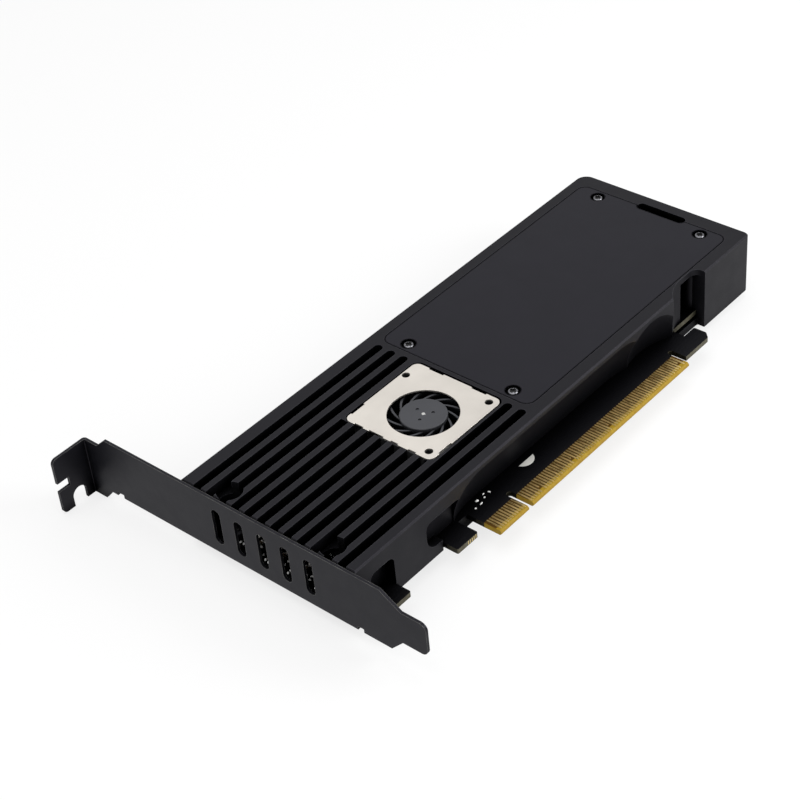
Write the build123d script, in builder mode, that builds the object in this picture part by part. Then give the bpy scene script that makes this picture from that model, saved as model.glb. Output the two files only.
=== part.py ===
from build123d import *
from math import cos, radians, sin
import os

# NVMe adapter card: a circuit board between a finned aluminium housing and a rear cover,
# with a steel slot bracket and a small blower let into the housing.
# Origin: x = 0 on the bracket's outer face, y = 0 at the edge contacts' tips,
# z = 0 on the component side of the board. Sizes are in millimetres.

os.makedirs("parts", exist_ok=True)

# Circuit board
board_t = 1.57
board_end_gap = 0.2
board_end_reach = 7.7
board_back_y = 66.5
board_near_y = 11.2
board_far_near_y = 12.3
tab_y = 4.7
tab_one_far_x = 14.9
tab_two_near_x = 33.3
tab_two_far_x = 41.45
contact_edge_near_x = 45.1
contact_edge_far_x = 130.3
key_x = 57.7
key_w = 1.9
key_depth = 8.0
end_notch_w = 1.9
end_notch_depth = 7.6
hook_y = 2.2
hook_far_x = 144.8
hook_chamfer = 1.7
hook_slit_y = 8.0
hook_neck_far_x = 139.9
board_corner_r = 0.5
contact_corner_r = 1.0
bevel = 0.5

# Edge contacts
contact_pitch = 1.0
contact_w = 0.7
contact_t = 0.06
contact_back_y = 5.6
contact_tip_gap = 0.2
short_contact_tip_y = 2.45
contacts_before_key = 11
contacts_after_key = 71
key_contact_offset = 1.5
short_front_contacts = (5, 19, 36, 69)

# Bracket
bracket_t = 0.86
bracket_low_z = -4.0
bracket_top_z = 14.42
tongue_tip_y = -13.2
tongue_low_z = 0.2
tongue_top_z = 10.4
tongue_r = 2.0
tongue_low_taper_y = -5.3
tongue_low_end_y = -1.4
tongue_top_taper_y = -5.5
tongue_top_end_y = 1.0
tongue_shoulder_r = 5.0
relief_depth = 1.2
relief_near_y = 7.6
relief_near_w = 1.95
relief_far_y = 93.6
relief_far_w = 2.5
end_low_taper_y = 98.3
end_low_y = 101.4
end_low_z = -7.5
end_top_taper_y = 97.5
end_top_y = 101.1
end_top_z = 11.0
bracket_back_y = 106.8
bend_outer_r = 1.1
bend_inner_r = 0.24
tab_reach = 11.5
tab_corner_r = 1.5
tab_notch_near_z = 0.2
tab_notch_far_z = 3.0
tab_notch_depth = 4.0
screw_slot_x = -5.1
screw_slot_w = 4.7
screw_slot_top_z = -2.2
vent_w = 3.1
vent_low_z = -0.6
vent_top_z = 10.95
vent_first_y = 24.65
vent_pitch = 7.97
vent_count = 5
ear_w = 9.0
ear_reach = 8.6
ear_corner_r = 1.5

# Screws that hold the bracket: through the board into the bracket's ears
bracket_screw_x = 5.05
bracket_screw_ys = (20.0, 55.4)
bracket_screw_r = 1.45
bracket_screw_head_r = 2.75
bracket_screw_head_t = 1.8
bracket_screw_len = 3.6
board_screw_hole_r = 1.6
ear_hole_r = 1.5
driver_pocket_r = 3.6

# Housing
housing_near_x = 1.2
housing_end_t = 3.5
housing_near_y = 9.4
housing_back_y = 69.2
housing_top_z = 14.5
housing_low_z = -2.5
far_block_x = 152.3
far_back_corner_r = 3.75
far_near_corner_r = 1.75
housing_edge_chamfer = 0.4
board_side_gap = 0.2
skirt_near_x = 15.2
skirt_far_x = 27.3

# Cooling grooves
groove_w = 2.7
groove_pitch = 4.52
groove_first_y = 13.8
groove_count = 12
groove_depth = 4.0
groove_far_x = 73.6
groove_short_from = 2
groove_short_to = 8

# Bays inside the housing
front_bay_far_x = 40.0
front_bay_near_y = 14.5
front_bay_back_y = 66.0
front_bay_roof_z = 9.0
chip_bay_roof_z = 3.8
bay_near_y = 16.0
bay_back_y = 63.0
socket_side_gap = 1.5
bay_end_wall = 7.7
bay_corner_r = 1.5

# Lid
lid_near_x = 75.4
lid_end_margin = 5.4
lid_near_y = 13.6
lid_back_y = 65.4
lid_t = 1.5
lid_corner_r = 3.0
lid_gap = 0.12
lid_block_t = 7.0
lid_block_near_gap = 5.0
lid_block_far_gap = 8.8
lid_block_w = 22.4
lid_slot_shift = 0.1
lid_slot_y = 36.9
lid_slot_len = 16.6
lid_slot_w = 3.0
lid_slot_depth = 3.5
pad_t = 1.0
pad_end_gap = 3.5
pad_w = 20.0
rear_pad_near_gap = 17.5
rear_pad_far_gap = 7.3

# Lid screws
lid_screw_near_inset = 3.1
lid_screw_far_inset = 3.0
lid_screw_near_y = 21.3
lid_screw_back_y = 57.7
lid_screw_r = 1.2
lid_screw_head_r = 1.6
lid_screw_head_t = 0.8
lid_screw_sink = 0.1
lid_screw_len = 5.5
lid_screw_hole_r = 1.45
lid_screw_seat_r = 2.1
lid_boss_r = 3.0
lid_boss_low_z = 6.5
thread_hole_r = 1.25

# Hollows in the housing's contact side
notch_one_near_x = 6.0
notch_one_far_x = 14.9
notch_one_top_z = 9.4
notch_two_near_x = 27.3
notch_two_far_x = 41.0
notch_two_top_z = 9.9
notch_depth = 3.2
notch_r = 2.0
scoop_r = 23.0
scoop_y = -8.85
scoop_z = -1.0
scoop_near_x = 50.0
scoop_far_x = 111.0
scoop_last_x = 126.0
pocket_near_x = 136.4
pocket_bend_x = 144.7
pocket_y = 13.1
pocket_arc_r = 12.0
pocket_corner_r = 2.5
pocket_window_near_x = 145.2
pocket_window_top_z = 12.6
pocket_post_x = 153.2
pocket_post_y = 15.2
pocket_post_r = 1.7

# Rear cover
cover_low_z = -5.0
cover_near_x = 2.0
cover_near_y = 9.6
cover_gap = 0.15
cover_floor_t = 1.0
cover_corner_r = 2.5
cover_bay_near_y = 16.0
cover_bay_back_y = 63.0
cover_front_bay_near_x = 3.2
cover_rib_w = 16.0
cover_socket_gap = 3.5
cover_standoff_gap = 4.7

# Cover screws: from the rear cover through the board into the housing
cover_near_screw_spots = ((37.0, 16.0), (134.0, 14.7))
cover_back_screw_xs = (46.0, 100.0, 150.0)
cover_back_screw_y = 64.4
cover_end_screw_inset = 2.1
cover_end_screw_ys = (24.0, 55.0)
cover_screw_r = 1.2
cover_screw_head_r = 2.2
cover_screw_len = 8.0
cover_screw_hole_r = 1.4
cover_screw_thread_z = 5.5
cover_boss_r = 2.2

# Blower
fan_w = 29.8
fan_lid_gap = 2.1
fan_y = 35.65
fan_t = 7.5
fan_corner_r = 2.0
fan_recess_margin = 0.5
fan_recess_shift_x = 0.2
fan_plate_t = 0.5
fan_axis_shift_x = -1.0
fan_axis_shift_y = -0.85
fan_mouth_lip = 3.1
fan_plate_notch = 0.45
fan_far_notches = ((5.15, 10.15), (-9.55, -4.55))
fan_near_notches = ((8.35, 11.35), (1.35, 6.35), (-3.65, -1.15), (-9.65, -7.15))
fan_back_notch = (-12.1, -7.0)
fan_front_notch = (-11.4, -6.4)
fan_floor_t = 1.0
fan_wall = 2.0
fan_scroll_growth = 0.6
fan_scroll_shift = 1.4
fan_outlet_inset = 3.05
fan_outlet_w = 9.0
fan_back_screw_inset = (6.0, 1.35)
fan_far_screw_inset = (2.45, 2.65)
fan_near_screw_inset = (2.7, 2.85)
fan_plate_hole_r = 1.15
fan_screw_r = 0.7
fan_screw_head_r = 1.0
fan_screw_head_t = 0.9
fan_screw_len = 4.0
fan_screw_hole_r = 0.8
fan_screw_flange_t = 1.6
fan_screw_thread_r = 0.75
outlet_margin = 1.5
outlet_drop = 2.0

# Blower rotor and motor
hub_r = 6.5
hub_wall = 0.9
hub_top_t = 1.2
hub_top_gap = 0.2
hub_edge_r = 0.3
rotor_floor_gap = 0.5
blade_count = 13
blade_t = 0.6
blade_tip_gap = 0.8
blade_mid_inset = 0.5
blade_mid_lag = 28.0
blade_tip_lag = 48.0
blade_top_gap = 0.6
blade_ring_w = 0.5
blade_ring_t = 0.8
dimple_r = 0.45
dimple_ring_r = 2.6
dimple_depth = 0.25
dimple_count = 3
dimple_start = 78.0
shaft_r = 0.5
shaft_floor_gap = 0.05
bearing_r = 1.5
bearing_gap = 0.03
bearing_top_gap = 0.5
motor_tube_wall = 0.7
magnet_t = 0.7
air_gap = 0.35
stator_gap_z = 0.6
stator_poles = 4
stator_slot_w = 1.6
stator_top_gap = 0.9

# Parts on the board
chip_w = 35.0
chip_x = 58.4
chip_y = 39.5
chip_t = 3.3
chip_base_t = 1.3
chip_lid_w = 29.0
chip_pad_w = 27.0
lane_near_y = 28.35
lane_back_y = 51.25
socket_x = 79.5
socket_len = 8.7
socket_w = 22.0
socket_t = 4.2
rear_socket_t = 2.25
rear_standoff_inset = 6.0
socket_mouth_w = 20.0
socket_mouth_t = 1.4
socket_mouth_depth = 4.6
socket_key_x = 5.6
drive_reach = 84.8
standoff_r = 2.75
standoff_t = 2.45
rear_standoff_t = 0.8
standoff_hole_r = 0.9
drive_screw_r = 0.85
drive_screw_head_r = 2.2
drive_screw_head_t = 0.7
drive_screw_len = 1.9
inductor_w = 6.6
inductor_t = 4.2
inductor_x = 32.0
regulator_x = 24.0
regulator_w = 5.0
regulator_len = 6.0
regulator_t = 0.9
power_row_ys = (22.0, 30.0, 38.0, 46.0)
capacitor_x = 15.5
capacitor_ys = (28.5, 36.5, 44.5)
capacitor_r = 3.15
capacitor_t = 5.8
capacitor_base_t = 1.0
small_part_xs = (5.6, 8.0, 10.4)
small_part_ys = (31.6, 33.8, 39.4, 41.8, 47.4, 49.6)
small_part_len = 1.6
small_part_w = 0.8
small_part_t = 0.8
led_x = 2.6
led_ys = (32.6, 40.6, 48.6)
led_len = 1.6
led_t = 0.8
header_x = 35.0
header_y = 58.0
header_len = 6.0
header_w = 3.4
header_t = 3.6
header_mouth = 2.2
header_wall = 0.6

# Worked out from the sizes above
board_near_x = bracket_t + board_end_gap
board_rear_z = -board_t
standoff_x = socket_x + drive_reach
rear_standoff_x = far_block_x - rear_standoff_inset
rear_socket_x = rear_standoff_x - drive_reach
board_far_x = standoff_x + board_end_reach
far_wall_x = board_far_x + board_side_gap
back_wall_y = board_back_y + board_side_gap
housing_far_x = far_wall_x + housing_end_t
lid_far_x = housing_far_x - lid_end_margin
drive_bay_near_x = socket_x - socket_side_gap
drive_bay_far_x = housing_far_x - bay_end_wall
lid_block_near_x = socket_x + lid_block_near_gap
lid_block_far_x = lid_far_x - lid_block_far_gap
lid_slot_x = lid_far_x + lid_slot_shift
lid_screw_xs = (lid_near_x + lid_screw_near_inset, lid_far_x - lid_screw_far_inset)
lid_screw_spots = [(x, y) for x in lid_screw_xs for y in (lid_screw_near_y, lid_screw_back_y)]
cover_drive_bay_near_x = rear_socket_x - cover_socket_gap
cover_drive_bay_far_x = rear_standoff_x + cover_standoff_gap
cover_front_bay_far_x = cover_drive_bay_near_x - cover_rib_w
cover_screw_spots = [
    *cover_near_screw_spots,
    *[(x, cover_back_screw_y) for x in cover_back_screw_xs],
    *[(board_far_x - cover_end_screw_inset, y) for y in cover_end_screw_ys],
]
cover_screw_head_t = cover_screw_head_r - cover_screw_r
base_z = housing_top_z - groove_depth
lid_seat_z = housing_top_z - lid_t
lid_block_low_z = lid_seat_z - lid_block_t
fan_low_z = housing_top_z - fan_t
fan_floor_z = fan_low_z + fan_floor_t
fan_frame_top_z = housing_top_z - fan_plate_t
hub_low_z = fan_floor_z + rotor_floor_gap
hub_top_z = housing_top_z - hub_top_gap
blade_top_z = fan_frame_top_z - blade_top_gap
fan_half = fan_w / 2
fan_x = lid_near_x - fan_lid_gap - fan_half
fan_axis_x = fan_x + fan_axis_shift_x
fan_axis_y = fan_y + fan_axis_shift_y
fan_cavity_r = fan_half - fan_wall
fan_scroll_r = fan_cavity_r + fan_scroll_growth
fan_mouth_r = fan_cavity_r - fan_mouth_lip
fan_outlet_back_y = fan_y + fan_half - fan_outlet_inset
fan_outlet_near_y = fan_outlet_back_y - fan_outlet_w
fan_screw_spots = [
    (fan_x + fan_half - fan_back_screw_inset[0], fan_y + fan_half - fan_back_screw_inset[1]),
    (fan_x + fan_half - fan_far_screw_inset[0], fan_y - fan_half + fan_far_screw_inset[1]),
    (fan_x - fan_half + fan_near_screw_inset[0], fan_y - fan_half + fan_near_screw_inset[1]),
]
blade_tip_r = fan_cavity_r - blade_tip_gap
blade_mid_r = (hub_r + blade_tip_r) / 2 - blade_mid_inset
lane_ys = (lane_near_y, lane_back_y)
bracket_screw_spots = [(bracket_screw_x, y) for y in bracket_screw_ys]
end_notch_x = contact_edge_far_x + end_notch_w / 2
before_key_xs = [key_x - key_contact_offset - i * contact_pitch for i in range(contacts_before_key)]
after_key_xs = [key_x + key_contact_offset + i * contact_pitch for i in range(contacts_after_key)]
short_front_xs = [key_x + key_contact_offset + i * contact_pitch for i in short_front_contacts]
short_rear_xs = [before_key_xs[-1]]
contact_tip_y = bevel + contact_tip_gap
same_place = 0.01
low_corner = (Align.MIN, Align.MIN)


def span(near_x, far_x, near_y, back_y):
    """Draws a rectangle in the current sketch from its two corners."""
    with Locations((near_x, near_y)):
        Rectangle(far_x - near_x, back_y - near_y, align=low_corner)


def cross_recess(spots, reach, width):
    """Draws the crossed slots of a driver recess at each spot of the current sketch."""
    with Locations(*spots):
        Rectangle(2 * reach, width)
        Rectangle(width, 2 * reach)


# Circuit board: one outline with two tabs, the contact edge, the key and the retaining hook
board_outline = [
    (board_near_x, tab_y),
    (tab_one_far_x, tab_y),
    (tab_one_far_x, board_near_y),
    (tab_two_near_x, board_near_y),
    (tab_two_near_x, tab_y),
    (tab_two_far_x, tab_y),
    (tab_two_far_x, board_near_y),
    (contact_edge_near_x, board_near_y),
    (contact_edge_near_x, 0),
    (end_notch_x, 0),
    (end_notch_x, hook_y),
    (hook_far_x - hook_chamfer, hook_y),
    (hook_far_x, hook_y + hook_chamfer),
    (hook_far_x, hook_slit_y),
    (hook_neck_far_x, hook_slit_y),
    (hook_neck_far_x, board_far_near_y),
    (board_far_x, board_far_near_y),
    (board_far_x, board_back_y),
    (board_near_x, board_back_y),
]
with BuildPart() as circuit_board:
    with BuildSketch(Plane.XY.offset(board_rear_z)) as board_sketch:
        with BuildLine():
            Polyline(*board_outline, close=True)
        make_face()
        with Locations((key_x, 0)):
            SlotOverall(2 * key_depth, key_w, rotation=90, mode=Mode.SUBTRACT)
        with Locations((end_notch_x, 0)):
            SlotOverall(2 * end_notch_depth, end_notch_w, rotation=90, mode=Mode.SUBTRACT)
        tab_tips = board_sketch.vertices().filter_by(lambda v: abs(v.Y - tab_y) < same_place)
        hook_corners = board_sketch.vertices().filter_by(lambda v: v.X > hook_far_x - hook_chamfer - same_place
                                                         and v.Y < board_far_near_y - same_place)
        edge_corners = board_sketch.vertices().filter_by(lambda v: abs(v.Y) < same_place)
        fillet(tab_tips + hook_corners, board_corner_r)
        outer_corners = edge_corners.sort_by(Axis.X)
        fillet([outer_corners[0], outer_corners[-1]], contact_corner_r)
        fillet(outer_corners[1:-1], board_corner_r)
    extrude(amount=board_t)
    with BuildSketch(Plane.YZ.offset(contact_edge_near_x)):
        for face_z, way in ((0, -1), (board_rear_z, 1)):
            with BuildLine():
                Polyline((0, face_z), (bevel, face_z), (0, face_z + way * bevel), close=True)
            make_face()
    extrude(amount=end_notch_x - contact_edge_near_x, mode=Mode.SUBTRACT)
    with BuildSketch(Plane.XY):
        with Locations(*bracket_screw_spots):
            Circle(board_screw_hole_r)
        with Locations(*cover_screw_spots):
            Circle(cover_screw_hole_r)
    extrude(amount=-board_t, mode=Mode.SUBTRACT)
circuit_board.part.label = "circuit_board"
export_step(circuit_board.part, "parts/circuit_board.step")

# Edge contacts: plated strips on both sides, a few of them short
contact_sides = {
    "edge_contacts_front": (0, contact_t, short_front_xs),
    "edge_contacts_rear": (board_rear_z, -contact_t, short_rear_xs),
}
for contact_name, (side_z, rise, short_xs) in contact_sides.items():
    with BuildPart() as edge_contacts:
        with BuildSketch(Plane.XY.offset(side_z)):
            for x in before_key_xs + after_key_xs:
                tip_y = short_contact_tip_y if x in short_xs else contact_tip_y
                span(x - contact_w / 2, x + contact_w / 2, tip_y, contact_back_y)
        extrude(amount=rise)
    edge_contacts.part.label = contact_name
    export_step(edge_contacts.part, f"parts/{contact_name}.step")

# Housing: one milled block, open below, with the board let into it
with BuildPart() as housing:
    with BuildSketch(Plane.XY.offset(cover_low_z)) as housing_sketch:
        span(housing_near_x, housing_far_x, housing_near_y, housing_back_y)
        far_corners = housing_sketch.vertices().group_by(Axis.X)[-1].sort_by(Axis.Y)
        fillet(far_corners[-1], far_back_corner_r)
    extrude(amount=housing_top_z - cover_low_z)
    near_corner = housing.edges().filter_by(Axis.Z).group_by(Axis.Y)[0].sort_by(Axis.X)[-1]
    fillet(near_corner, far_near_corner_r)
    chamfer(housing.faces().sort_by(Axis.Z)[-1].edges(), housing_edge_chamfer)

    # Room for the rear cover, the board and its tabs
    with BuildSketch(Plane.XY.offset(cover_low_z)):
        span(housing_near_x, far_block_x, housing_near_y, housing_back_y)
        span(far_block_x, far_wall_x, board_far_near_y - board_side_gap, back_wall_y)
    extrude(amount=housing_low_z - cover_low_z, mode=Mode.SUBTRACT)
    with BuildSketch(Plane.XY.offset(housing_low_z)):
        span(housing_near_x, skirt_near_x, housing_near_y, back_wall_y)
        span(skirt_near_x, far_block_x, board_near_y - board_side_gap, back_wall_y)
        span(skirt_far_x, far_block_x, housing_near_y, board_near_y)
        span(far_block_x, far_wall_x, board_far_near_y - board_side_gap, back_wall_y)
    extrude(amount=-housing_low_z, mode=Mode.SUBTRACT)

    # Bays over the board
    with BuildSketch(Plane.XY):
        span(housing_near_x, front_bay_far_x, front_bay_near_y, front_bay_back_y)
    extrude(amount=front_bay_roof_z, mode=Mode.SUBTRACT)
    with BuildSketch(Plane.XY):
        span(front_bay_far_x, drive_bay_near_x, bay_near_y, bay_back_y)
    extrude(amount=chip_bay_roof_z, mode=Mode.SUBTRACT)
    with BuildSketch(Plane.XY):
        span(drive_bay_near_x, drive_bay_far_x, bay_near_y, bay_back_y)
    extrude(amount=lid_seat_z, mode=Mode.SUBTRACT)

    # Seat of the lid, with the finger slot in its rim
    with BuildSketch(Plane.XY.offset(lid_seat_z)) as lid_seat:
        span(lid_near_x - lid_gap, lid_far_x + lid_gap, lid_near_y - lid_gap, lid_back_y + lid_gap)
        fillet(lid_seat.vertices(), lid_corner_r + lid_gap)
    extrude(amount=lid_t, mode=Mode.SUBTRACT)
    with BuildSketch(Plane.XY.offset(housing_top_z)):
        with Locations((lid_slot_x, lid_slot_y)):
            SlotOverall(lid_slot_len, lid_slot_w, rotation=90)
    extrude(amount=-lid_slot_depth, mode=Mode.SUBTRACT)

    # Bosses: under the lid's screws, and on the near wall for the cover's screws
    with BuildSketch(Plane.XY.offset(lid_boss_low_z)):
        with Locations(*lid_screw_spots):
            Circle(lid_boss_r)
    extrude(amount=lid_seat_z - lid_boss_low_z)
    with BuildSketch(Plane.XY):
        with Locations(*cover_near_screw_spots):
            Circle(cover_boss_r)
    extrude(amount=front_bay_roof_z)

    # Recess of the blower and its outlet into the front bay
    with BuildSketch(Plane.XY.offset(fan_low_z)) as recess_sketch:
        with Locations((fan_x + fan_recess_shift_x, fan_y)):
            Rectangle(fan_w + 2 * fan_recess_margin, fan_w + 2 * fan_recess_margin)
        fillet(recess_sketch.vertices(), fan_corner_r + fan_recess_margin)
    extrude(amount=fan_t, mode=Mode.SUBTRACT)
    recess_near_x = fan_x + fan_recess_shift_x - fan_half - fan_recess_margin
    with BuildSketch(Plane.XY.offset(front_bay_roof_z)):
        span(front_bay_far_x, recess_near_x, fan_outlet_near_y - outlet_margin, fan_outlet_back_y + outlet_margin)
    extrude(amount=-outlet_drop, mode=Mode.SUBTRACT)

    # Cooling grooves: the outer ones run past the blower, the others stop at its recess
    with BuildSketch(Plane.XY.offset(base_z)):
        for i in range(groove_count):
            y = groove_first_y + i * groove_pitch
            if groove_short_from <= i <= groove_short_to:
                span(housing_near_x, recess_near_x, y - groove_w / 2, y + groove_w / 2)
            else:
                span(housing_near_x, groove_far_x - groove_w / 2, y - groove_w / 2, y + groove_w / 2)
                with Locations((groove_far_x - groove_w / 2, y)):
                    Circle(groove_w / 2)
    extrude(amount=groove_depth, mode=Mode.SUBTRACT)
    with BuildSketch(Plane.XY.offset(front_bay_roof_z)):
        with Locations(*bracket_screw_spots):
            Circle(driver_pocket_r)
    extrude(amount=housing_top_z - front_bay_roof_z, mode=Mode.SUBTRACT)

    # Notches over the board's tabs
    with BuildSketch(Plane.XZ.offset(-housing_near_y)) as notch_sketch:
        span(notch_one_near_x, notch_one_far_x, cover_low_z, notch_one_top_z)
        span(notch_two_near_x, notch_two_far_x, cover_low_z, notch_two_top_z)
        fillet(notch_sketch.vertices().filter_by(lambda v: v.Y > 0), notch_r)
    extrude(amount=-notch_depth, mode=Mode.SUBTRACT)

    # Long scoop and last round scoop over the contact edge
    with Locations((scoop_near_x, scoop_y, scoop_z), (scoop_far_x, scoop_y, scoop_z),
                   (scoop_last_x, scoop_y, scoop_z)):
        Sphere(scoop_r, mode=Mode.SUBTRACT)
    with BuildSketch(Plane.YZ.offset(scoop_near_x)):
        with Locations((scoop_y, scoop_z)):
            Circle(scoop_r)
    extrude(amount=scoop_far_x - scoop_near_x, mode=Mode.SUBTRACT)

    # Deep pocket over the hook, open at the top, with a window into the drive bay
    with BuildSketch(Plane.XY.offset(cover_low_z)) as pocket_sketch:
        with BuildLine():
            RadiusArc((pocket_near_x, housing_near_y), (pocket_bend_x, pocket_y),
                      pocket_arc_r, short_sagitta=True)
            Line((pocket_bend_x, pocket_y), (far_block_x, pocket_y))
            Line((far_block_x, pocket_y), (far_block_x, housing_near_y))
            Line((far_block_x, housing_near_y), (pocket_near_x, housing_near_y))
        make_face()
        fillet(pocket_sketch.vertices().group_by(Axis.Y)[-1].sort_by(Axis.X)[-1], pocket_corner_r)
    extrude(amount=housing_top_z - cover_low_z, mode=Mode.SUBTRACT)
    with BuildSketch(Plane.XY):
        span(pocket_window_near_x, far_block_x, pocket_y - pocket_corner_r, bay_near_y)
    extrude(amount=pocket_window_top_z, mode=Mode.SUBTRACT)
    with BuildSketch(Plane.XY):
        with Locations((pocket_post_x, pocket_post_y)):
            Circle(pocket_post_r)
    extrude(amount=lid_seat_z)

    # Screw holes
    with BuildSketch(Plane.XY.offset(lid_boss_low_z)):
        with Locations(*lid_screw_spots):
            Circle(thread_hole_r)
    extrude(amount=lid_seat_z - lid_boss_low_z, mode=Mode.SUBTRACT)
    with BuildSketch(Plane.XY):
        with Locations(*cover_screw_spots):
            Circle(thread_hole_r)
    extrude(amount=cover_screw_thread_z, mode=Mode.SUBTRACT)
    with BuildSketch(Plane.XY.offset(fan_low_z)):
        with Locations(*fan_screw_spots):
            Circle(fan_screw_thread_r)
    extrude(amount=chip_bay_roof_z - fan_low_z, mode=Mode.SUBTRACT)
housing.part.label = "housing"
export_step(housing.part, "parts/housing.step")

# Lid: a flush plate with two blocks that reach down to the drives
with BuildPart() as lid:
    with BuildSketch(Plane.XY.offset(lid_seat_z)) as lid_sketch:
        span(lid_near_x, lid_far_x, lid_near_y, lid_back_y)
        fillet(lid_sketch.vertices(), lid_corner_r)
        with Locations((lid_slot_x, lid_slot_y)):
            SlotOverall(lid_slot_len, lid_slot_w, rotation=90, mode=Mode.SUBTRACT)
    extrude(amount=lid_t)
    with BuildSketch(Plane.XY.offset(lid_seat_z)):
        for y in lane_ys:
            span(lid_block_near_x, lid_block_far_x, y - lid_block_w / 2, y + lid_block_w / 2)
    extrude(amount=-lid_block_t)
    with Locations(*[(x, y, housing_top_z) for x, y in lid_screw_spots]):
        CounterBoreHole(lid_screw_hole_r, lid_screw_seat_r, lid_screw_head_t + lid_screw_sink, depth=lid_t)
lid.part.label = "lid"
export_step(lid.part, "parts/lid.step")

# Lid screws: cap heads sunk in the lid, a little below its face
with BuildPart() as lid_screws:
    head_z = housing_top_z - lid_screw_sink
    with BuildSketch(Plane.XY.offset(head_z)):
        with Locations(*lid_screw_spots):
            Circle(lid_screw_head_r)
    extrude(amount=-lid_screw_head_t)
    chamfer(lid_screws.faces().group_by(Axis.Z)[-1].edges(), lid_screw_head_t / 4)
    with BuildSketch(Plane.XY.offset(head_z)):
        with Locations(*lid_screw_spots):
            Circle(lid_screw_r)
    extrude(amount=-lid_screw_len)
    with BuildSketch(Plane.XY.offset(head_z)):
        cross_recess(lid_screw_spots, lid_screw_head_r / 2, lid_screw_r / 3)
    extrude(amount=-lid_screw_head_t / 2, mode=Mode.SUBTRACT)
lid_screws.part.label = "lid_screws"
export_step(lid_screws.part, "parts/lid_screws.step")

# Heat pads under the lid's blocks
with BuildPart() as lid_pads:
    with BuildSketch(Plane.XY.offset(lid_block_low_z)):
        for y in lane_ys:
            span(lid_block_near_x + pad_end_gap, lid_block_far_x - pad_end_gap, y - pad_w / 2, y + pad_w / 2)
    extrude(amount=-pad_t)
lid_pads.part.label = "lid_pads"
export_step(lid_pads.part, "parts/lid_pads.step")

# Rear cover: a shallow tray under the board
with BuildPart() as rear_cover:
    with BuildSketch(Plane.XY.offset(cover_low_z)) as cover_sketch:
        span(cover_near_x, far_block_x - cover_gap, cover_near_y, housing_back_y)
        fillet(cover_sketch.vertices().group_by(Axis.Y)[0].sort_by(Axis.X)[-1], cover_corner_r)
        span(cover_near_x, far_wall_x - cover_gap, board_far_near_y, board_back_y)
    extrude(amount=housing_low_z - cover_low_z)
    with BuildSketch(Plane.XY.offset(housing_low_z)) as tray_sketch:
        span(cover_front_bay_near_x, cover_front_bay_far_x, cover_bay_near_y, cover_bay_back_y)
        span(cover_drive_bay_near_x, cover_drive_bay_far_x, cover_bay_near_y, cover_bay_back_y)
        fillet(tray_sketch.vertices(), bay_corner_r)
    extrude(amount=cover_low_z + cover_floor_t - housing_low_z, mode=Mode.SUBTRACT)
    with BuildSketch(Plane.XY.offset(cover_low_z)):
        with Locations(*cover_screw_spots):
            Circle(cover_boss_r)
    extrude(amount=board_rear_z - cover_low_z)
    with Locations(*[Location((x, y, cover_low_z), (180, 0, 0)) for x, y in cover_screw_spots]):
        CounterSinkHole(cover_screw_hole_r, cover_screw_head_r, depth=board_rear_z - cover_low_z,
                        counter_sink_angle=90)
rear_cover.part.label = "rear_cover"
export_step(rear_cover.part, "parts/rear_cover.step")

# Cover screws: countersunk from below
with BuildPart() as cover_screws:
    with BuildSketch(Plane.XY.offset(cover_low_z)):
        with Locations(*cover_screw_spots):
            Circle(cover_screw_head_r)
    extrude(amount=cover_screw_head_t, taper=45)
    with BuildSketch(Plane.XY.offset(cover_low_z)):
        with Locations(*cover_screw_spots):
            Circle(cover_screw_r)
    extrude(amount=cover_screw_len)
    with BuildSketch(Plane.XY.offset(cover_low_z)):
        cross_recess(cover_screw_spots, cover_screw_head_r / 2, cover_screw_r / 3)
    extrude(amount=cover_screw_head_t / 2, mode=Mode.SUBTRACT)
cover_screws.part.label = "cover_screws"
export_step(cover_screws.part, "parts/cover_screws.step")

# Rear heat pads, on the floor of the tray
with BuildPart() as rear_pads:
    with BuildSketch(Plane.XY.offset(cover_low_z + cover_floor_t)):
        for y in lane_ys:
            span(rear_socket_x + rear_pad_near_gap, rear_standoff_x - rear_pad_far_gap, y - pad_w / 2, y + pad_w / 2)
    extrude(amount=pad_t / 2)
rear_pads.part.label = "rear_pads"
export_step(rear_pads.part, "parts/rear_pads.step")

# Bracket: a folded sheet with a tongue, five vents, a screw tab and two ears under the board
bracket_outline = [
    (tongue_tip_y, tongue_low_z),
    (tongue_low_taper_y, tongue_low_z),
    (tongue_low_end_y, bracket_low_z),
    (relief_near_y, bracket_low_z),
    (relief_near_y, bracket_low_z + relief_depth),
    (relief_near_y + relief_near_w, bracket_low_z + relief_depth),
    (relief_near_y + relief_near_w, bracket_low_z),
    (relief_far_y, bracket_low_z),
    (relief_far_y, bracket_low_z + relief_depth),
    (relief_far_y + relief_far_w, bracket_low_z + relief_depth),
    (relief_far_y + relief_far_w, bracket_low_z),
    (end_low_taper_y, bracket_low_z),
    (end_low_y, end_low_z),
    (bracket_back_y, end_low_z),
    (bracket_back_y, end_top_z),
    (end_top_y, end_top_z),
    (end_top_taper_y, bracket_top_z),
    (tongue_top_end_y, bracket_top_z),
    (tongue_top_taper_y, tongue_top_z),
    (tongue_tip_y, tongue_top_z),
]
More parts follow.
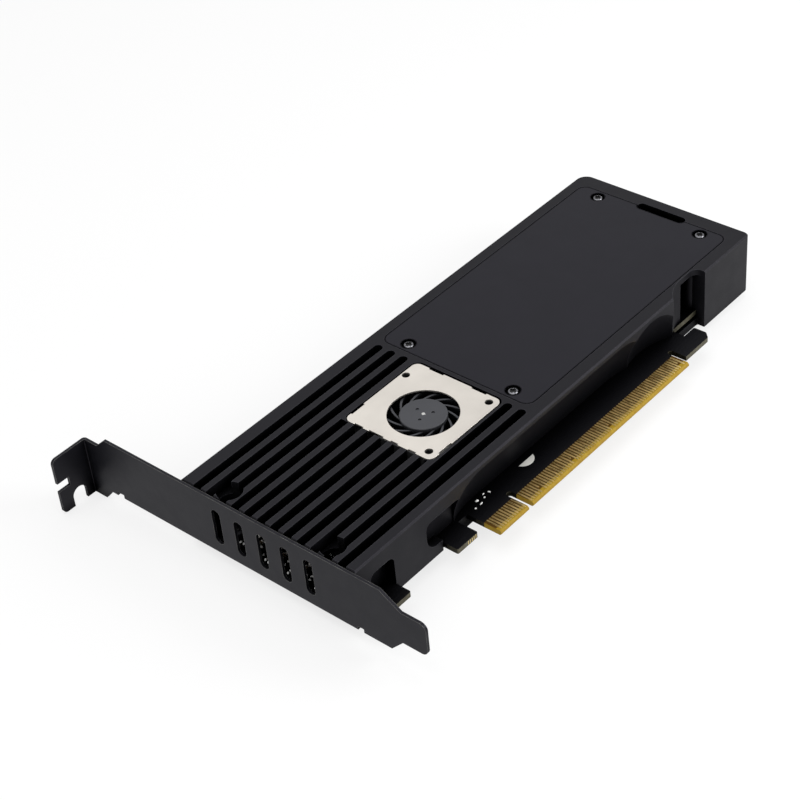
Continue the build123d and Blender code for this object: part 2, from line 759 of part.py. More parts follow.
with BuildPart() as bracket:
    with BuildSketch(Plane.YZ) as bracket_sketch:
        with BuildLine():
            Polyline(*bracket_outline, close=True)
        make_face()
        tip_corners = bracket_sketch.vertices().filter_by(lambda v: abs(v.X - tongue_tip_y) < same_place)
        shoulder = bracket_sketch.vertices().filter_by(lambda v: abs(v.X - tongue_top_end_y) < same_place)
        fillet(tip_corners, tongue_r)
        fillet(shoulder, tongue_shoulder_r)
        vent_mid_z = (vent_low_z + vent_top_z) / 2
        with Locations(*[(vent_first_y + i * vent_pitch, vent_mid_z) for i in range(vent_count)]):
            SlotOverall(vent_top_z - vent_low_z, vent_w, rotation=90, mode=Mode.SUBTRACT)
    extrude(amount=bracket_t)
    with BuildSketch(Plane.XZ.offset(-bracket_back_y)) as tab_sketch:
        span(-tab_reach, bracket_t, end_low_z, end_top_z)
        fillet(tab_sketch.vertices().group_by(Axis.X)[0], tab_corner_r)
    extrude(amount=bracket_t)
    with BuildSketch(Plane.XZ.offset(-bracket_back_y)):
        span(-tab_reach, tab_notch_depth - tab_reach, tab_notch_near_z, tab_notch_far_z)
        span(screw_slot_x - screw_slot_w / 2, screw_slot_x + screw_slot_w / 2,
             end_low_z, screw_slot_top_z - screw_slot_w / 2)
        with Locations((screw_slot_x, screw_slot_top_z - screw_slot_w / 2)):
            Circle(screw_slot_w / 2)
    extrude(amount=bracket_t, mode=Mode.SUBTRACT)
    upright = bracket.edges().filter_by(Axis.Z)
    outer_bend = upright.group_by(Axis.Y)[-1].sort_by(Axis.X)[-1]
    fillet(outer_bend, bend_outer_r)
    inner_bend = bracket.edges().filter_by(Axis.Z).filter_by(
        lambda e: abs(e.center().X) < same_place
        and abs(e.center().Y - bracket_back_y + bracket_t) < same_place)
    fillet(inner_bend, bend_inner_r)
    with BuildSketch(Plane.XY.offset(board_rear_z)) as ear_sketch:
        for x, y in bracket_screw_spots:
            span(bracket_t, bracket_t + ear_reach, y - ear_w / 2, y + ear_w / 2)
        fillet(ear_sketch.vertices().group_by(Axis.X)[-1], ear_corner_r)
        with Locations(*bracket_screw_spots):
            Circle(ear_hole_r, mode=Mode.SUBTRACT)
    extrude(amount=-bracket_t)
bracket.part.label = "bracket"
export_step(bracket.part, "parts/bracket.step")

# Bracket screws: pan heads on the board, under the driver pockets
with BuildPart() as bracket_screws:
    with BuildSketch(Plane.XY) as head_sketch:
        with Locations(*bracket_screw_spots):
            Circle(bracket_screw_head_r)
    extrude(amount=bracket_screw_head_t)
    head_rims = bracket_screws.faces().group_by(Axis.Z)[-1].edges()
    fillet(head_rims, bracket_screw_head_t / 3)
    with BuildSketch(Plane.XY):
        with Locations(*bracket_screw_spots):
            Circle(bracket_screw_r)
    extrude(amount=-bracket_screw_len)
    with BuildSketch(Plane.XY.offset(bracket_screw_head_t)):
        cross_recess(bracket_screw_spots, bracket_screw_head_r / 2, bracket_screw_r / 2.5)
    extrude(amount=-bracket_screw_head_t / 2, mode=Mode.SUBTRACT)
bracket_screws.part.label = "bracket_screws"
export_step(bracket_screws.part, "parts/bracket_screws.step")

# Blower frame: a square scroll with a round well, an outlet and the motor's tube
tube_r = bearing_r + motor_tube_wall
tube_top_z = hub_top_z - hub_top_t - bearing_top_gap
with BuildPart() as fan_frame:
    with BuildSketch(Plane.XY.offset(fan_low_z)) as frame_sketch:
        with Locations((fan_x, fan_y)):
            Rectangle(fan_w, fan_w)
        fillet(frame_sketch.vertices(), fan_corner_r)
    extrude(amount=fan_frame_top_z - fan_low_z)
    with BuildSketch(Plane.XY.offset(fan_floor_z)):
        with Locations((fan_axis_x, fan_axis_y)):
            Circle(fan_cavity_r)
        with Locations((fan_axis_x + fan_scroll_shift, fan_axis_y + fan_scroll_shift)):
            Circle(fan_scroll_r)
        span(fan_x - fan_half, fan_axis_x, fan_outlet_near_y, fan_outlet_back_y)
    extrude(amount=fan_frame_top_z - fan_floor_z, mode=Mode.SUBTRACT)
    with BuildSketch(Plane.XY.offset(fan_floor_z)):
        with Locations((fan_axis_x, fan_axis_y)):
            Circle(tube_r)
    extrude(amount=tube_top_z - fan_floor_z)
    with BuildSketch(Plane.XY.offset(fan_floor_z)):
        with Locations((fan_axis_x, fan_axis_y)):
            Circle(bearing_r)
    extrude(amount=tube_top_z - fan_floor_z, mode=Mode.SUBTRACT)
    with BuildSketch(Plane.XY.offset(fan_low_z + fan_screw_flange_t)):
        with Locations(*fan_screw_spots):
            Circle(fan_plate_hole_r)
    extrude(amount=fan_t, mode=Mode.SUBTRACT)
    with BuildSketch(Plane.XY.offset(fan_low_z)):
        with Locations(*fan_screw_spots):
            Circle(fan_screw_hole_r)
    extrude(amount=fan_screw_flange_t, mode=Mode.SUBTRACT)
fan_frame.part.label = "fan_frame"
export_step(fan_frame.part, "parts/fan_frame.step")

# Blower cover plate, with small notches in its edges
with BuildPart() as fan_plate:
    with BuildSketch(Plane.XY.offset(fan_frame_top_z)) as plate_sketch:
        with Locations((fan_x, fan_y)):
            Rectangle(fan_w, fan_w)
        fillet(plate_sketch.vertices(), fan_corner_r)
    extrude(amount=fan_plate_t)
    with BuildSketch(Plane.XY.offset(fan_frame_top_z)):
        with Locations((fan_axis_x, fan_axis_y)):
            Circle(fan_mouth_r)
        with Locations(*fan_screw_spots):
            Circle(fan_plate_hole_r)
        for low, high in fan_far_notches:
            span(fan_x + fan_half - fan_plate_notch, fan_x + fan_half, fan_y + low, fan_y + high)
        for low, high in fan_near_notches:
            span(fan_x - fan_half, fan_x - fan_half + fan_plate_notch, fan_y + low, fan_y + high)
        for (low, high), edge_y, way in (
            (fan_back_notch, fan_y + fan_half, -1), (fan_front_notch, fan_y - fan_half, 1),
        ):
            cut_ys = sorted((edge_y, edge_y + way * fan_plate_notch))
            span(fan_x + low, fan_x + high, *cut_ys)
    extrude(amount=fan_plate_t, mode=Mode.SUBTRACT)
fan_plate.part.label = "fan_plate"
export_step(fan_plate.part, "parts/fan_plate.step")

# Blower screws, deep in the frame's corners
with BuildPart() as fan_screws:
    flange_top_z = fan_low_z + fan_screw_flange_t
    with BuildSketch(Plane.XY.offset(flange_top_z)):
        with Locations(*fan_screw_spots):
            Circle(fan_screw_head_r)
    extrude(amount=fan_screw_head_t)
    with BuildSketch(Plane.XY.offset(flange_top_z)):
        with Locations(*fan_screw_spots):
            Circle(fan_screw_r)
    extrude(amount=-fan_screw_len)
    with BuildSketch(Plane.XY.offset(flange_top_z + fan_screw_head_t)):
        cross_recess(fan_screw_spots, fan_screw_head_r / 2, fan_screw_r / 2.5)
    extrude(amount=-fan_screw_head_t / 2, mode=Mode.SUBTRACT)
fan_screws.part.label = "fan_screws"
export_step(fan_screws.part, "parts/fan_screws.step")

# Blower rotor: a hub open below, with swept blades tied by a ring at their tips
magnet_outer_r = hub_r - hub_wall
magnet_inner_r = magnet_outer_r - magnet_t


def lagging(radius, lag):
    """Returns a point of the blade's middle line, turned back from its root."""
    return radius * cos(radians(lag)), -radius * sin(radians(lag))


blade_points = (
    (hub_r - hub_wall / 2, 0),
    lagging(blade_mid_r, blade_mid_lag),
    lagging(blade_tip_r - blade_ring_w / 2, blade_tip_lag),
)
with BuildSketch() as blade_profile:
    with BuildLine():
        inner_side = ThreePointArc(*[(x - blade_t / 2, y) for x, y in blade_points])
        outer_side = ThreePointArc(*[(x + blade_t / 2, y) for x, y in blade_points])
        Line(inner_side @ 0, outer_side @ 0)
        Line(inner_side @ 1, outer_side @ 1)
    make_face()
with BuildPart() as fan_rotor:
    with BuildSketch(Plane.XY.offset(hub_low_z)):
        with Locations((fan_axis_x, fan_axis_y)):
            Circle(hub_r)
    extrude(amount=hub_top_z - hub_low_z)
    fillet(fan_rotor.faces().sort_by(Axis.Z)[-1].edges(), hub_edge_r)
    with BuildSketch(Plane.XY.offset(hub_low_z)):
        with Locations((fan_axis_x, fan_axis_y)):
            with PolarLocations(0, blade_count):
                add(blade_profile.sketch)
    extrude(amount=blade_top_z - hub_low_z)
    with BuildSketch(Plane.XY.offset(hub_low_z)):
        with Locations((fan_axis_x, fan_axis_y)):
            Circle(blade_tip_r)
            Circle(blade_tip_r - blade_ring_w, mode=Mode.SUBTRACT)
    extrude(amount=blade_ring_t)
    with BuildSketch(Plane.XY.offset(hub_low_z)):
        with Locations((fan_axis_x, fan_axis_y)):
            Circle(magnet_outer_r)
    extrude(amount=hub_top_z - hub_top_t - hub_low_z, mode=Mode.SUBTRACT)
    with BuildSketch(Plane.XY.offset(hub_top_z)):
        with Locations((fan_axis_x, fan_axis_y)):
            with PolarLocations(dimple_ring_r, dimple_count, start_angle=dimple_start):
                Circle(dimple_r)
    extrude(amount=-dimple_depth, mode=Mode.SUBTRACT)
    with BuildSketch(Plane.XY.offset(hub_top_z)):
        with Locations((fan_axis_x, fan_axis_y)):
            Circle(shaft_r)
    extrude(amount=-hub_top_t, mode=Mode.SUBTRACT)
fan_rotor.part.label = "fan_rotor"
export_step(fan_rotor.part, "parts/fan_rotor.step")

# Ring magnet, pressed into the hub
with BuildPart() as rotor_magnet:
    with BuildSketch(Plane.XY.offset(hub_low_z)):
        with Locations((fan_axis_x, fan_axis_y)):
            Circle(magnet_outer_r)
            Circle(magnet_inner_r, mode=Mode.SUBTRACT)
    extrude(amount=hub_top_z - hub_top_t - hub_low_z)
rotor_magnet.part.label = "rotor_magnet"
export_step(rotor_magnet.part, "parts/rotor_magnet.step")

# Shaft, from the hub's top down into the bearing
with BuildPart() as rotor_shaft:
    with BuildSketch(Plane.XY.offset(fan_floor_z + shaft_floor_gap)):
        with Locations((fan_axis_x, fan_axis_y)):
            Circle(shaft_r)
    extrude(amount=hub_top_z - fan_floor_z - shaft_floor_gap)
rotor_shaft.part.label = "rotor_shaft"
export_step(rotor_shaft.part, "parts/rotor_shaft.step")

# Sleeve bearing inside the motor's tube
with BuildPart() as fan_bearing:
    with BuildSketch(Plane.XY.offset(fan_floor_z)):
        with Locations((fan_axis_x, fan_axis_y)):
            Circle(bearing_r)
            Circle(shaft_r + bearing_gap, mode=Mode.SUBTRACT)
    extrude(amount=tube_top_z - fan_floor_z)
fan_bearing.part.label = "fan_bearing"
export_step(fan_bearing.part, "parts/fan_bearing.step")

# Stator: an iron ring with four poles round the motor's tube
stator_r = magnet_inner_r - air_gap
with BuildPart() as fan_stator:
    with BuildSketch(Plane.XY.offset(fan_floor_z + stator_gap_z)):
        with Locations((fan_axis_x, fan_axis_y)):
            Circle(stator_r)
            Circle(tube_r, mode=Mode.SUBTRACT)
            with PolarLocations(stator_r, stator_poles, start_angle=45):
                Rectangle(stator_r - tube_r, stator_slot_w, mode=Mode.SUBTRACT)
    extrude(amount=tube_top_z - stator_top_gap - fan_floor_z)
fan_stator.part.label = "fan_stator"
export_step(fan_stator.part, "parts/fan_stator.step")

# Switch chip and its heat pad, under the blower
with BuildPart() as switch_chip:
    with BuildSketch(Plane.XY):
        with Locations((chip_x, chip_y)):
            Rectangle(chip_w, chip_w)
    extrude(amount=chip_base_t)
    with BuildSketch(Plane.XY.offset(chip_base_t)) as chip_lid:
        with Locations((chip_x, chip_y)):
            Rectangle(chip_lid_w, chip_lid_w)
        fillet(chip_lid.vertices(), bay_corner_r)
    extrude(amount=chip_t - chip_base_t)
switch_chip.part.label = "switch_chip"
export_step(switch_chip.part, "parts/switch_chip.step")

with BuildPart() as switch_pad:
    with BuildSketch(Plane.XY.offset(chip_t)):
        with Locations((chip_x, chip_y)):
            Rectangle(chip_pad_w, chip_pad_w)
    extrude(amount=chip_bay_roof_z - chip_t)
switch_pad.part.label = "switch_pad"
export_step(switch_pad.part, "parts/switch_pad.step")

# Drive sockets, two on each side of the board, with their mouths towards the far end
socket_sides = {
    "drive_sockets": (socket_x, 0, socket_t),
    "rear_drive_sockets": (rear_socket_x, board_rear_z, -rear_socket_t),
}
for socket_name, (near_x, side_z, rise) in socket_sides.items():
    mouth_z = side_z + rise * (1 - socket_mouth_t / socket_t) / 2
    mouth_rise = rise * socket_mouth_t / socket_t
    with BuildPart() as sockets:
        with BuildSketch(Plane.XY.offset(side_z)):
            for y in lane_ys:
                span(near_x, near_x + socket_len, y - socket_w / 2, y + socket_w / 2)
        extrude(amount=rise)
        with BuildSketch(Plane.XY.offset(mouth_z)):
            for y in lane_ys:
                mouth_x = near_x + socket_len - socket_mouth_depth
                key_y = y + socket_key_x
                span(mouth_x, near_x + socket_len, y - socket_mouth_w / 2, key_y - contact_w)
                span(mouth_x, near_x + socket_len, key_y + contact_w, y + socket_mouth_w / 2)
        extrude(amount=mouth_rise, mode=Mode.SUBTRACT)
    sockets.part.label = socket_name
    export_step(sockets.part, f"parts/{socket_name}.step")

# Standoffs that hold the drives' far ends, and their screws
standoff_sides = {
    "drive_standoffs": (standoff_x, 0, standoff_t),
    "rear_drive_standoffs": (rear_standoff_x, board_rear_z, -rear_standoff_t),
}
for standoff_name, (x, side_z, rise) in standoff_sides.items():
    with BuildPart() as standoffs:
        with BuildSketch(Plane.XY.offset(side_z)):
            with Locations(*[(x, y) for y in lane_ys]):
                Circle(standoff_r)
                Circle(standoff_hole_r, mode=Mode.SUBTRACT)
        extrude(amount=rise)
    standoffs.part.label = standoff_name
    export_step(standoffs.part, f"parts/{standoff_name}.step")

screw_sides = {
    "drive_screws": (standoff_x, standoff_t, 1, drive_screw_len),
    "rear_drive_screws": (rear_standoff_x, board_rear_z - rear_standoff_t, -1, rear_standoff_t),
}
for screw_name, (x, seat_z, way, length) in screw_sides.items():
    with BuildPart() as drive_screws:
        spots = [(x, y) for y in lane_ys]
        with BuildSketch(Plane.XY.offset(seat_z)):
            with Locations(*spots):
                Circle(drive_screw_head_r)
        extrude(amount=way * drive_screw_head_t)
        with BuildSketch(Plane.XY.offset(seat_z)):
            with Locations(*spots):
                Circle(drive_screw_r)
        extrude(amount=-way * length)
        with BuildSketch(Plane.XY.offset(seat_z + way * drive_screw_head_t)):
            cross_recess(spots, drive_screw_head_r / 2, drive_screw_r / 2.5)
        extrude(amount=-way * drive_screw_head_t / 2, mode=Mode.SUBTRACT)
    drive_screws.part.label = screw_name
    export_step(drive_screws.part, f"parts/{screw_name}.step")

# Power parts in the front bay
with BuildPart() as inductors:
    with BuildSketch(Plane.XY) as inductor_sketch:
        with Locations(*[(inductor_x, y) for y in power_row_ys]):
            Rectangle(inductor_w, inductor_w)
        chamfer(inductor_sketch.vertices(), inductor_w / 8)
    extrude(amount=inductor_t)
inductors.part.label = "inductors"
export_step(inductors.part, "parts/inductors.step")

with BuildPart() as regulator_chips:
    with BuildSketch(Plane.XY):
        with Locations(*[(regulator_x, y) for y in power_row_ys]):
            Rectangle(regulator_w, regulator_len)
    extrude(amount=regulator_t)
regulator_chips.part.label = "regulator_chips"
export_step(regulator_chips.part, "parts/regulator_chips.step")

with BuildPart() as capacitors:
    with BuildSketch(Plane.XY):
        with Locations(*[(capacitor_x, y) for y in capacitor_ys]):
            Rectangle(2 * capacitor_r, 2 * capacitor_r)
    extrude(amount=capacitor_base_t)
    with BuildSketch(Plane.XY.offset(capacitor_base_t)):
        with Locations(*[(capacitor_x, y) for y in capacitor_ys]):
            Circle(capacitor_r)
    extrude(amount=capacitor_t - capacitor_base_t)
    fillet(capacitors.faces().group_by(Axis.Z)[-1].edges(), capacitor_base_t / 2)
capacitors.part.label = "capacitors"
export_step(capacitors.part, "parts/capacitors.step")

with BuildPart() as ceramic_capacitors:
    with BuildSketch(Plane.XY):
        with Locations(*[(x, y) for x in small_part_xs for y in small_part_ys]):
            Rectangle(small_part_len, small_part_w)
    extrude(amount=small_part_t)
ceramic_capacitors.part.label = "ceramic_capacitors"
export_step(ceramic_capacitors.part, "parts/ceramic_capacitors.step")

with BuildPart() as indicator_leds:
    with BuildSketch(Plane.XY):
        with Locations(*[(led_x, y) for y in led_ys]):
            Rectangle(small_part_w, led_len)
    extrude(amount=led_t)
indicator_leds.part.label = "indicator_leds"
export_step(indicator_leds.part, "parts/indicator_leds.step")

with BuildPart() as fan_header:
    with BuildSketch(Plane.XY):
        with Locations((header_x, header_y)):
            Rectangle(header_len, header_w)
    extrude(amount=header_t)
    with BuildSketch(Plane.XY.offset(header_t)):
        with Locations((header_x, header_y)):
            Rectangle(header_len - 2 * header_wall, header_w - 2 * header_wall)
    extrude(amount=-header_mouth, mode=Mode.SUBTRACT)
fan_header.part.label = "fan_header"
export_step(fan_header.part, "parts/fan_header.step")
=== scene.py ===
"""Looks of the NVMe adapter card: finishes for its modelled nodes, and the fine pieces that a maker would add.

Lengths are in millimetres until they reach Blender, which works in metres.
"""

import logging
from dataclasses import dataclass, field
from enum import Enum
from functools import cache
from math import acos, cos, pi, radians, sin
from typing import Any

import bmesh
import bpy
from mathutils import Matrix, Vector


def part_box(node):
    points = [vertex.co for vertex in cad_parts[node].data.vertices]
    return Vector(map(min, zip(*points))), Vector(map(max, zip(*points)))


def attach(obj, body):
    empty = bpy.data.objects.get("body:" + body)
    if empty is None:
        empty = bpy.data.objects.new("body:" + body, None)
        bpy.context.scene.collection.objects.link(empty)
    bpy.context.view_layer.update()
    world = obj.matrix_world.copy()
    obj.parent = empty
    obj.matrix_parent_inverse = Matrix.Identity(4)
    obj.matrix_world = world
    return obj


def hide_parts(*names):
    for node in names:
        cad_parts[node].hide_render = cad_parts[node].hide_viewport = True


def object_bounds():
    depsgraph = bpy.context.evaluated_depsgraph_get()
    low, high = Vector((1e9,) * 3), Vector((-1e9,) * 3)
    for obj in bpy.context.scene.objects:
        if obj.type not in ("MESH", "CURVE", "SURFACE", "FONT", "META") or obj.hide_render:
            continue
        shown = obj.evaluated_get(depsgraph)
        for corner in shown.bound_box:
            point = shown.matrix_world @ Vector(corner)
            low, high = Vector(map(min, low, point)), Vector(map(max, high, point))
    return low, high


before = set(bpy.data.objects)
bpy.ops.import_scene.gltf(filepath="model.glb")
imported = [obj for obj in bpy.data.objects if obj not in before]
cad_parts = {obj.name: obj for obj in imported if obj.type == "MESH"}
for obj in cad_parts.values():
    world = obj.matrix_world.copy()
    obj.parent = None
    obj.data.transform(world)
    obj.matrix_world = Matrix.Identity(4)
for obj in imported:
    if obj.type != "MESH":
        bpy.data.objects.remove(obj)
cad_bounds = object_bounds()

logging.basicConfig(level=logging.INFO, format="%(message)s")
log = logging.getLogger("card")

MM = 0.001
# Points of a modelled node that lie closer together than this are one
WELD_MM = 0.0005
# The range of a noise pattern that its features lie in
NOISE_MIDDLE = (0.3, 0.7)
# At scale 1 a wave texture has this many bands to a metre
WAVE_BANDS = 20 / 6.283
# A face that looks further along +Z than this is a top
TOP_FACING = 0.9
BEVEL_SAMPLES = 6
SHELTER_SAMPLES = 8
BLACK = (0.0, 0.0, 0.0, 1.0)

Spot = tuple[float, float]
Span = tuple[float, float]
Place = tuple[float, float, float]
Node = bpy.types.Node
Socket = bpy.types.NodeSocket
Tree = bpy.types.NodeTree


class Side(Enum):
    """The two faces of the board, by the way they look."""

    FRONT = 1
    REAR = -1


def linear(code: str) -> tuple[float, float, float, float]:
    """Turns an sRGB hex colour into the linear values that a shader takes.

    Args:
        code: The colour as "#rrggbb".

    Returns:
        Red, green, blue and alpha.
    """
    channels = [int(code[i:i + 2], 16) / 255 for i in (1, 3, 5)]
    straight = [c / 12.92 if c <= 0.04045 else ((c + 0.055) / 1.055) ** 2.4 for c in channels]
    return straight[0], straight[1], straight[2], 1.0


def add(tree: Tree, kind: str, inputs: dict[int | str, Any] | None = None, **settings: Any) -> Node:
    """Adds a node to a tree, sets its properties, and fills or links its inputs.

    Args:
        tree: The shader or geometry tree that gets the node.
        kind: The node's type name.
        inputs: What goes into each input, by its name or number: a value, a socket, a node, which stands
            for its first output, or a list of these.
        **settings: The node's own properties.

    Returns:
        The new node.
    """
    made = tree.nodes.new(kind)
    for key, value in settings.items():
        setattr(made, key, value)
    for key, value in (inputs or {}).items():
        for item in value if isinstance(value, list) else [value]:
            source = item.outputs[0] if isinstance(item, Node) else item
            if isinstance(source, Socket):
                tree.links.new(source, made.inputs[key])
            else:
                made.inputs[key].default_value = source
    return made


def times(tree: Tree, value: Any, factor: float) -> Node:
    """Multiplies a value by a number."""
    return add(tree, "ShaderNodeMath", {0: value, 1: factor}, operation="MULTIPLY")


def vector(tree: Tree, parts: list[Any]) -> Node:
    """Joins an X, a Y and a Z."""
    return add(tree, "ShaderNodeCombineXYZ", dict(enumerate(parts)))


def blank(owner: Any) -> Tree:
    """Empties the node tree of a new material or world, and gives it."""
    owner.use_nodes = True
    owner.node_tree.nodes.clear()
    return owner.node_tree


def box_mm(node: str) -> tuple[Vector, Vector]:
    """Gives the lowest and highest corner of a modelled node, in millimetres."""
    low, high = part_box(node)
    return low / MM, high / MM


# Finishes


@dataclass(frozen=True)
class Finish:
    """A surface: what it is made of, and how it was made.

    The plain finish is a moulded or cast surface with a fine grain, whose colour drifts a little.

    Attributes:
        name: The material's name.
        colour: Its sRGB colour.
        roughness: Its middle roughness.
        metallic: 1 for metals.
        ior: The index of refraction of what isn't metal.
        specular: How strong its sheen is.
        drift: How far the colour drifts, as a share of it.
        drift_mm: The size of the colour's clouds.
        grain_mm: The size of the grain.
        grain_depth_mm: The depth of the grain.
        roughness_spread: From the smoothest to the roughest place.
        edge_mm: How far from an edge its shading starts to round.
        sheen: The tint of its sheen.
        shelter_mm: How near a face must stand to shelter another from the light, or 0 for no shelter. Sheltered
            places get painted shade: colour and sheen darken towards black.
        shelter: The free share of the view where the shelter is full, and where it ends.
        shelter_rest: The share of colour and sheen left in full shelter, where the painted shade is darkest.
    """

    name: str
    colour: str
    roughness: float = 0.5
    metallic: float = 0.0
    ior: float = 1.5
    specular: float = 0.5
    drift: float = 0.08
    drift_mm: float = 14.0
    grain_mm: float = 0.5
    grain_depth_mm: float = 0.004
    roughness_spread: float = 0.06
    edge_mm: float = 0.12
    sheen: str = "#ffffff"
    shelter_mm: float = 0.0
    shelter: Span = (0.36, 0.76)
    shelter_rest: float = 0.03

    def material(self) -> bpy.types.Material:
        """Builds the finish.

        Returns:
            Its material, ready for a slot.
        """
        made = bpy.data.materials.new(self.name)
        tree = blank(made)
        place = add(tree, "ShaderNodeTexCoord").outputs["Object"]
        colour, strength = self.tint(tree, place), self.specular
        # Painted shade: in grooves, pockets and under other parts the colour and the sheen darken towards black
        if self.shelter_mm:
            share = self.openness(tree, place)
            colour = self.blend(tree, share, BLACK, colour)
            strength = times(tree, share, self.specular)
        shader = add(tree, "ShaderNodeBsdfPrincipled", {
            "Base Color": colour, "Metallic": self.metallic, "Specular IOR Level": strength,
            "Specular Tint": linear(self.sheen), "Roughness": self.gloss(tree, place),
            "Normal": self.relief(tree, place),
        })
        if not self.metallic:
            shader.inputs["IOR"].default_value = self.ior
        add(tree, "ShaderNodeOutputMaterial", {"Surface": shader})
        return made

    def ramp(self, tree: Tree, value: Any, start: float, end: float, low: float = 0, high: float = 1) -> Node:
        """Gives the low value up to the start, the high value from the end, and runs evenly between."""
        return add(tree, "ShaderNodeMapRange", {"Value": value, 1: start, 2: end, 3: low, 4: high})

    def noise(self, tree: Tree, place: Any, size_mm: float, detail: float = 3.0) -> Node:
        """Adds a cloudy pattern, from 0 to 1, with features of a real size."""
        return add(tree, "ShaderNodeTexNoise", {"Vector": place, "Scale": 1 / (size_mm * MM), "Detail": detail})

    def clouds(self, tree: Tree, place: Any, size_mm: float, low: float, high: float, detail: float = 3.0) -> Node:
        """Adds a cloudy pattern that runs from a low to a high value."""
        return self.ramp(tree, self.noise(tree, place, size_mm, detail), *NOISE_MIDDLE, low, high)

    def uneven(self, tree: Tree, place: Any, size_mm: float) -> Node:
        """Gives the roughness, with clouds of a size."""
        half = self.roughness_spread / 2
        return self.clouds(tree, place, size_mm, self.roughness - half, self.roughness + half)

    def blend(self, tree: Tree, share: Any, base: Any, top: Any, mode: str = "MIX") -> Socket:
        """Lays a share of the top colour over the base colour."""
        return add(tree, "ShaderNodeMix", {0: share, 6: base, 7: top}, data_type="RGBA", blend_type=mode).outputs[2]

    def both(self, tree: Tree, first: Any, second: Any, how: str = "MULTIPLY") -> Node:
        """Joins two values by a product or another plain rule."""
        return add(tree, "ShaderNodeMath", {0: first, 1: second}, operation=how)

    def soft(self, tree: Tree, reach_mm: float) -> Node:
        """Gives the surface's direction, rounded over the edges."""
        return add(tree, "ShaderNodeBevel", {"Radius": reach_mm * MM}, samples=BEVEL_SAMPLES)

    def flatness(self, tree: Tree, reach_mm: float) -> Socket:
        """Gives 1 on flat faces, and less towards an edge, from a distance on."""
        straight = add(tree, "ShaderNodeNewGeometry").outputs["Normal"]
        pair = {0: self.soft(tree, reach_mm), 1: straight}
        return add(tree, "ShaderNodeVectorMath", pair, operation="DOT_PRODUCT").outputs["Value"]

    def raised(self, tree: Tree, height: Any, depth_mm: float) -> Node:
        """Gives the surface's direction with a relief, over softened edges."""
        soft = self.soft(tree, self.edge_mm)
        return add(tree, "ShaderNodeBump", {"Distance": depth_mm * MM, "Height": height, "Normal": soft})

    def tint(self, tree: Tree, place: Socket) -> Any:
        """Gives the colour, which drifts slowly over the surface."""
        colour = linear(self.colour)[:3]
        pale = (*(c * (1 + self.drift) for c in colour), 1)
        deep = (*(c * (1 - self.drift) for c in colour), 1)
        return self.blend(tree, self.clouds(tree, place, self.drift_mm, 0, 1), deep, pale)

    def openness(self, tree: Tree, place: Socket) -> Any:
        """Gives 1 on open faces, and falls in narrow grooves and pockets, where little light gets in: the share of
        colour and sheen that the painted shade leaves.
        """
        reach = {"Distance": self.shelter_mm * MM}
        free = add(tree, "ShaderNodeAmbientOcclusion", reach, samples=SHELTER_SAMPLES).outputs["AO"]
        return self.ramp(tree, free, *self.shelter, self.shelter_rest, 1)

    def gloss(self, tree: Tree, place: Socket) -> Any:
        """Gives the roughness, a little uneven."""
        return self.uneven(tree, place, self.drift_mm / 3)

    def relief(self, tree: Tree, place: Socket) -> Any:
        """Gives the surface's direction, with its fine grain."""
        return self.raised(tree, self.noise(tree, place, self.grain_mm, 2.0), self.grain_depth_mm)


@dataclass(frozen=True)
class AnodisedAluminium(Finish):
    """Milled aluminium, blasted with fine beads and dyed black in the anodising bath.

    The blasting leaves an even satin. Its sharp edges are paler, partly where the oxide is thinner and worn, and
    partly as a painted highlight.

    Attributes:
        edge_wear_highlight_colour: The colour of an edge: worn oxide and painted highlight.
        edge_reach_mm: How far the pale edge reaches from an edge.
        wear_and_highlight: How flat the surface is where the pale edge starts, and where it is full.
        patch_mm: The size of the patches of the pale edge.
        patches: The least and the most of the pale edge in a patch.
    """

    edge_wear_highlight_colour: str = "#48484d"
    edge_reach_mm: float = 0.22
    wear_and_highlight: Span = (0.985, 0.86)
    patch_mm: float = 2.0
    patches: Span = (0.5, 1.0)

    def tint(self, tree: Tree, place: Socket) -> Any:
        """Gives the coat's colour, paler on the edges: worn oxide and painted highlight."""
        coat = super().tint(tree, place)
        edge = self.ramp(tree, self.flatness(tree, self.edge_reach_mm), *self.wear_and_highlight)
        worn_and_lit = self.both(tree, edge, self.clouds(tree, place, self.patch_mm, *self.patches))
        return self.blend(tree, worn_and_lit, coat, linear(self.edge_wear_highlight_colour))


@dataclass(frozen=True)
class SeamedAluminium(AnodisedAluminium):
    """The anodised finish of a plate that lies in a recess, with a dark line of painted shade along its rim, where
    the seam is.
    """

    rim_mm: float = 0.9
    rim: Span = (0.9, 0.97)

    def openness(self, tree: Tree, place: Socket) -> Any:
        """Gives the openness, which falls to nothing at the rim, as painted shade of the seam."""
        inside = self.ramp(tree, self.flatness(tree, self.rim_mm), *self.rim)
        return self.both(tree, super().openness(tree, place), inside)


@dataclass(frozen=True)
class PaintedSteel(AnodisedAluminium):
    """Sheet steel under black satin paint, which flows thin over the cut edges; their paler colour is partly that
    thin paint and partly a painted highlight.
    """

    edge_wear_highlight_colour: str = "#8a8a86"
    edge_reach_mm: float = 0.25
    wear_and_highlight: Span = (0.97, 0.8)
    patch_mm: float = 3.0
    patches: Span = (0.2, 0.9)
    flow_mm: float = 1.6

    def relief(self, tree: Tree, place: Socket) -> Any:
        """Gives the soft orange-peel of sprayed paint."""
        return self.raised(tree, self.noise(tree, place, self.flow_mm, 1.0), self.grain_depth_mm)


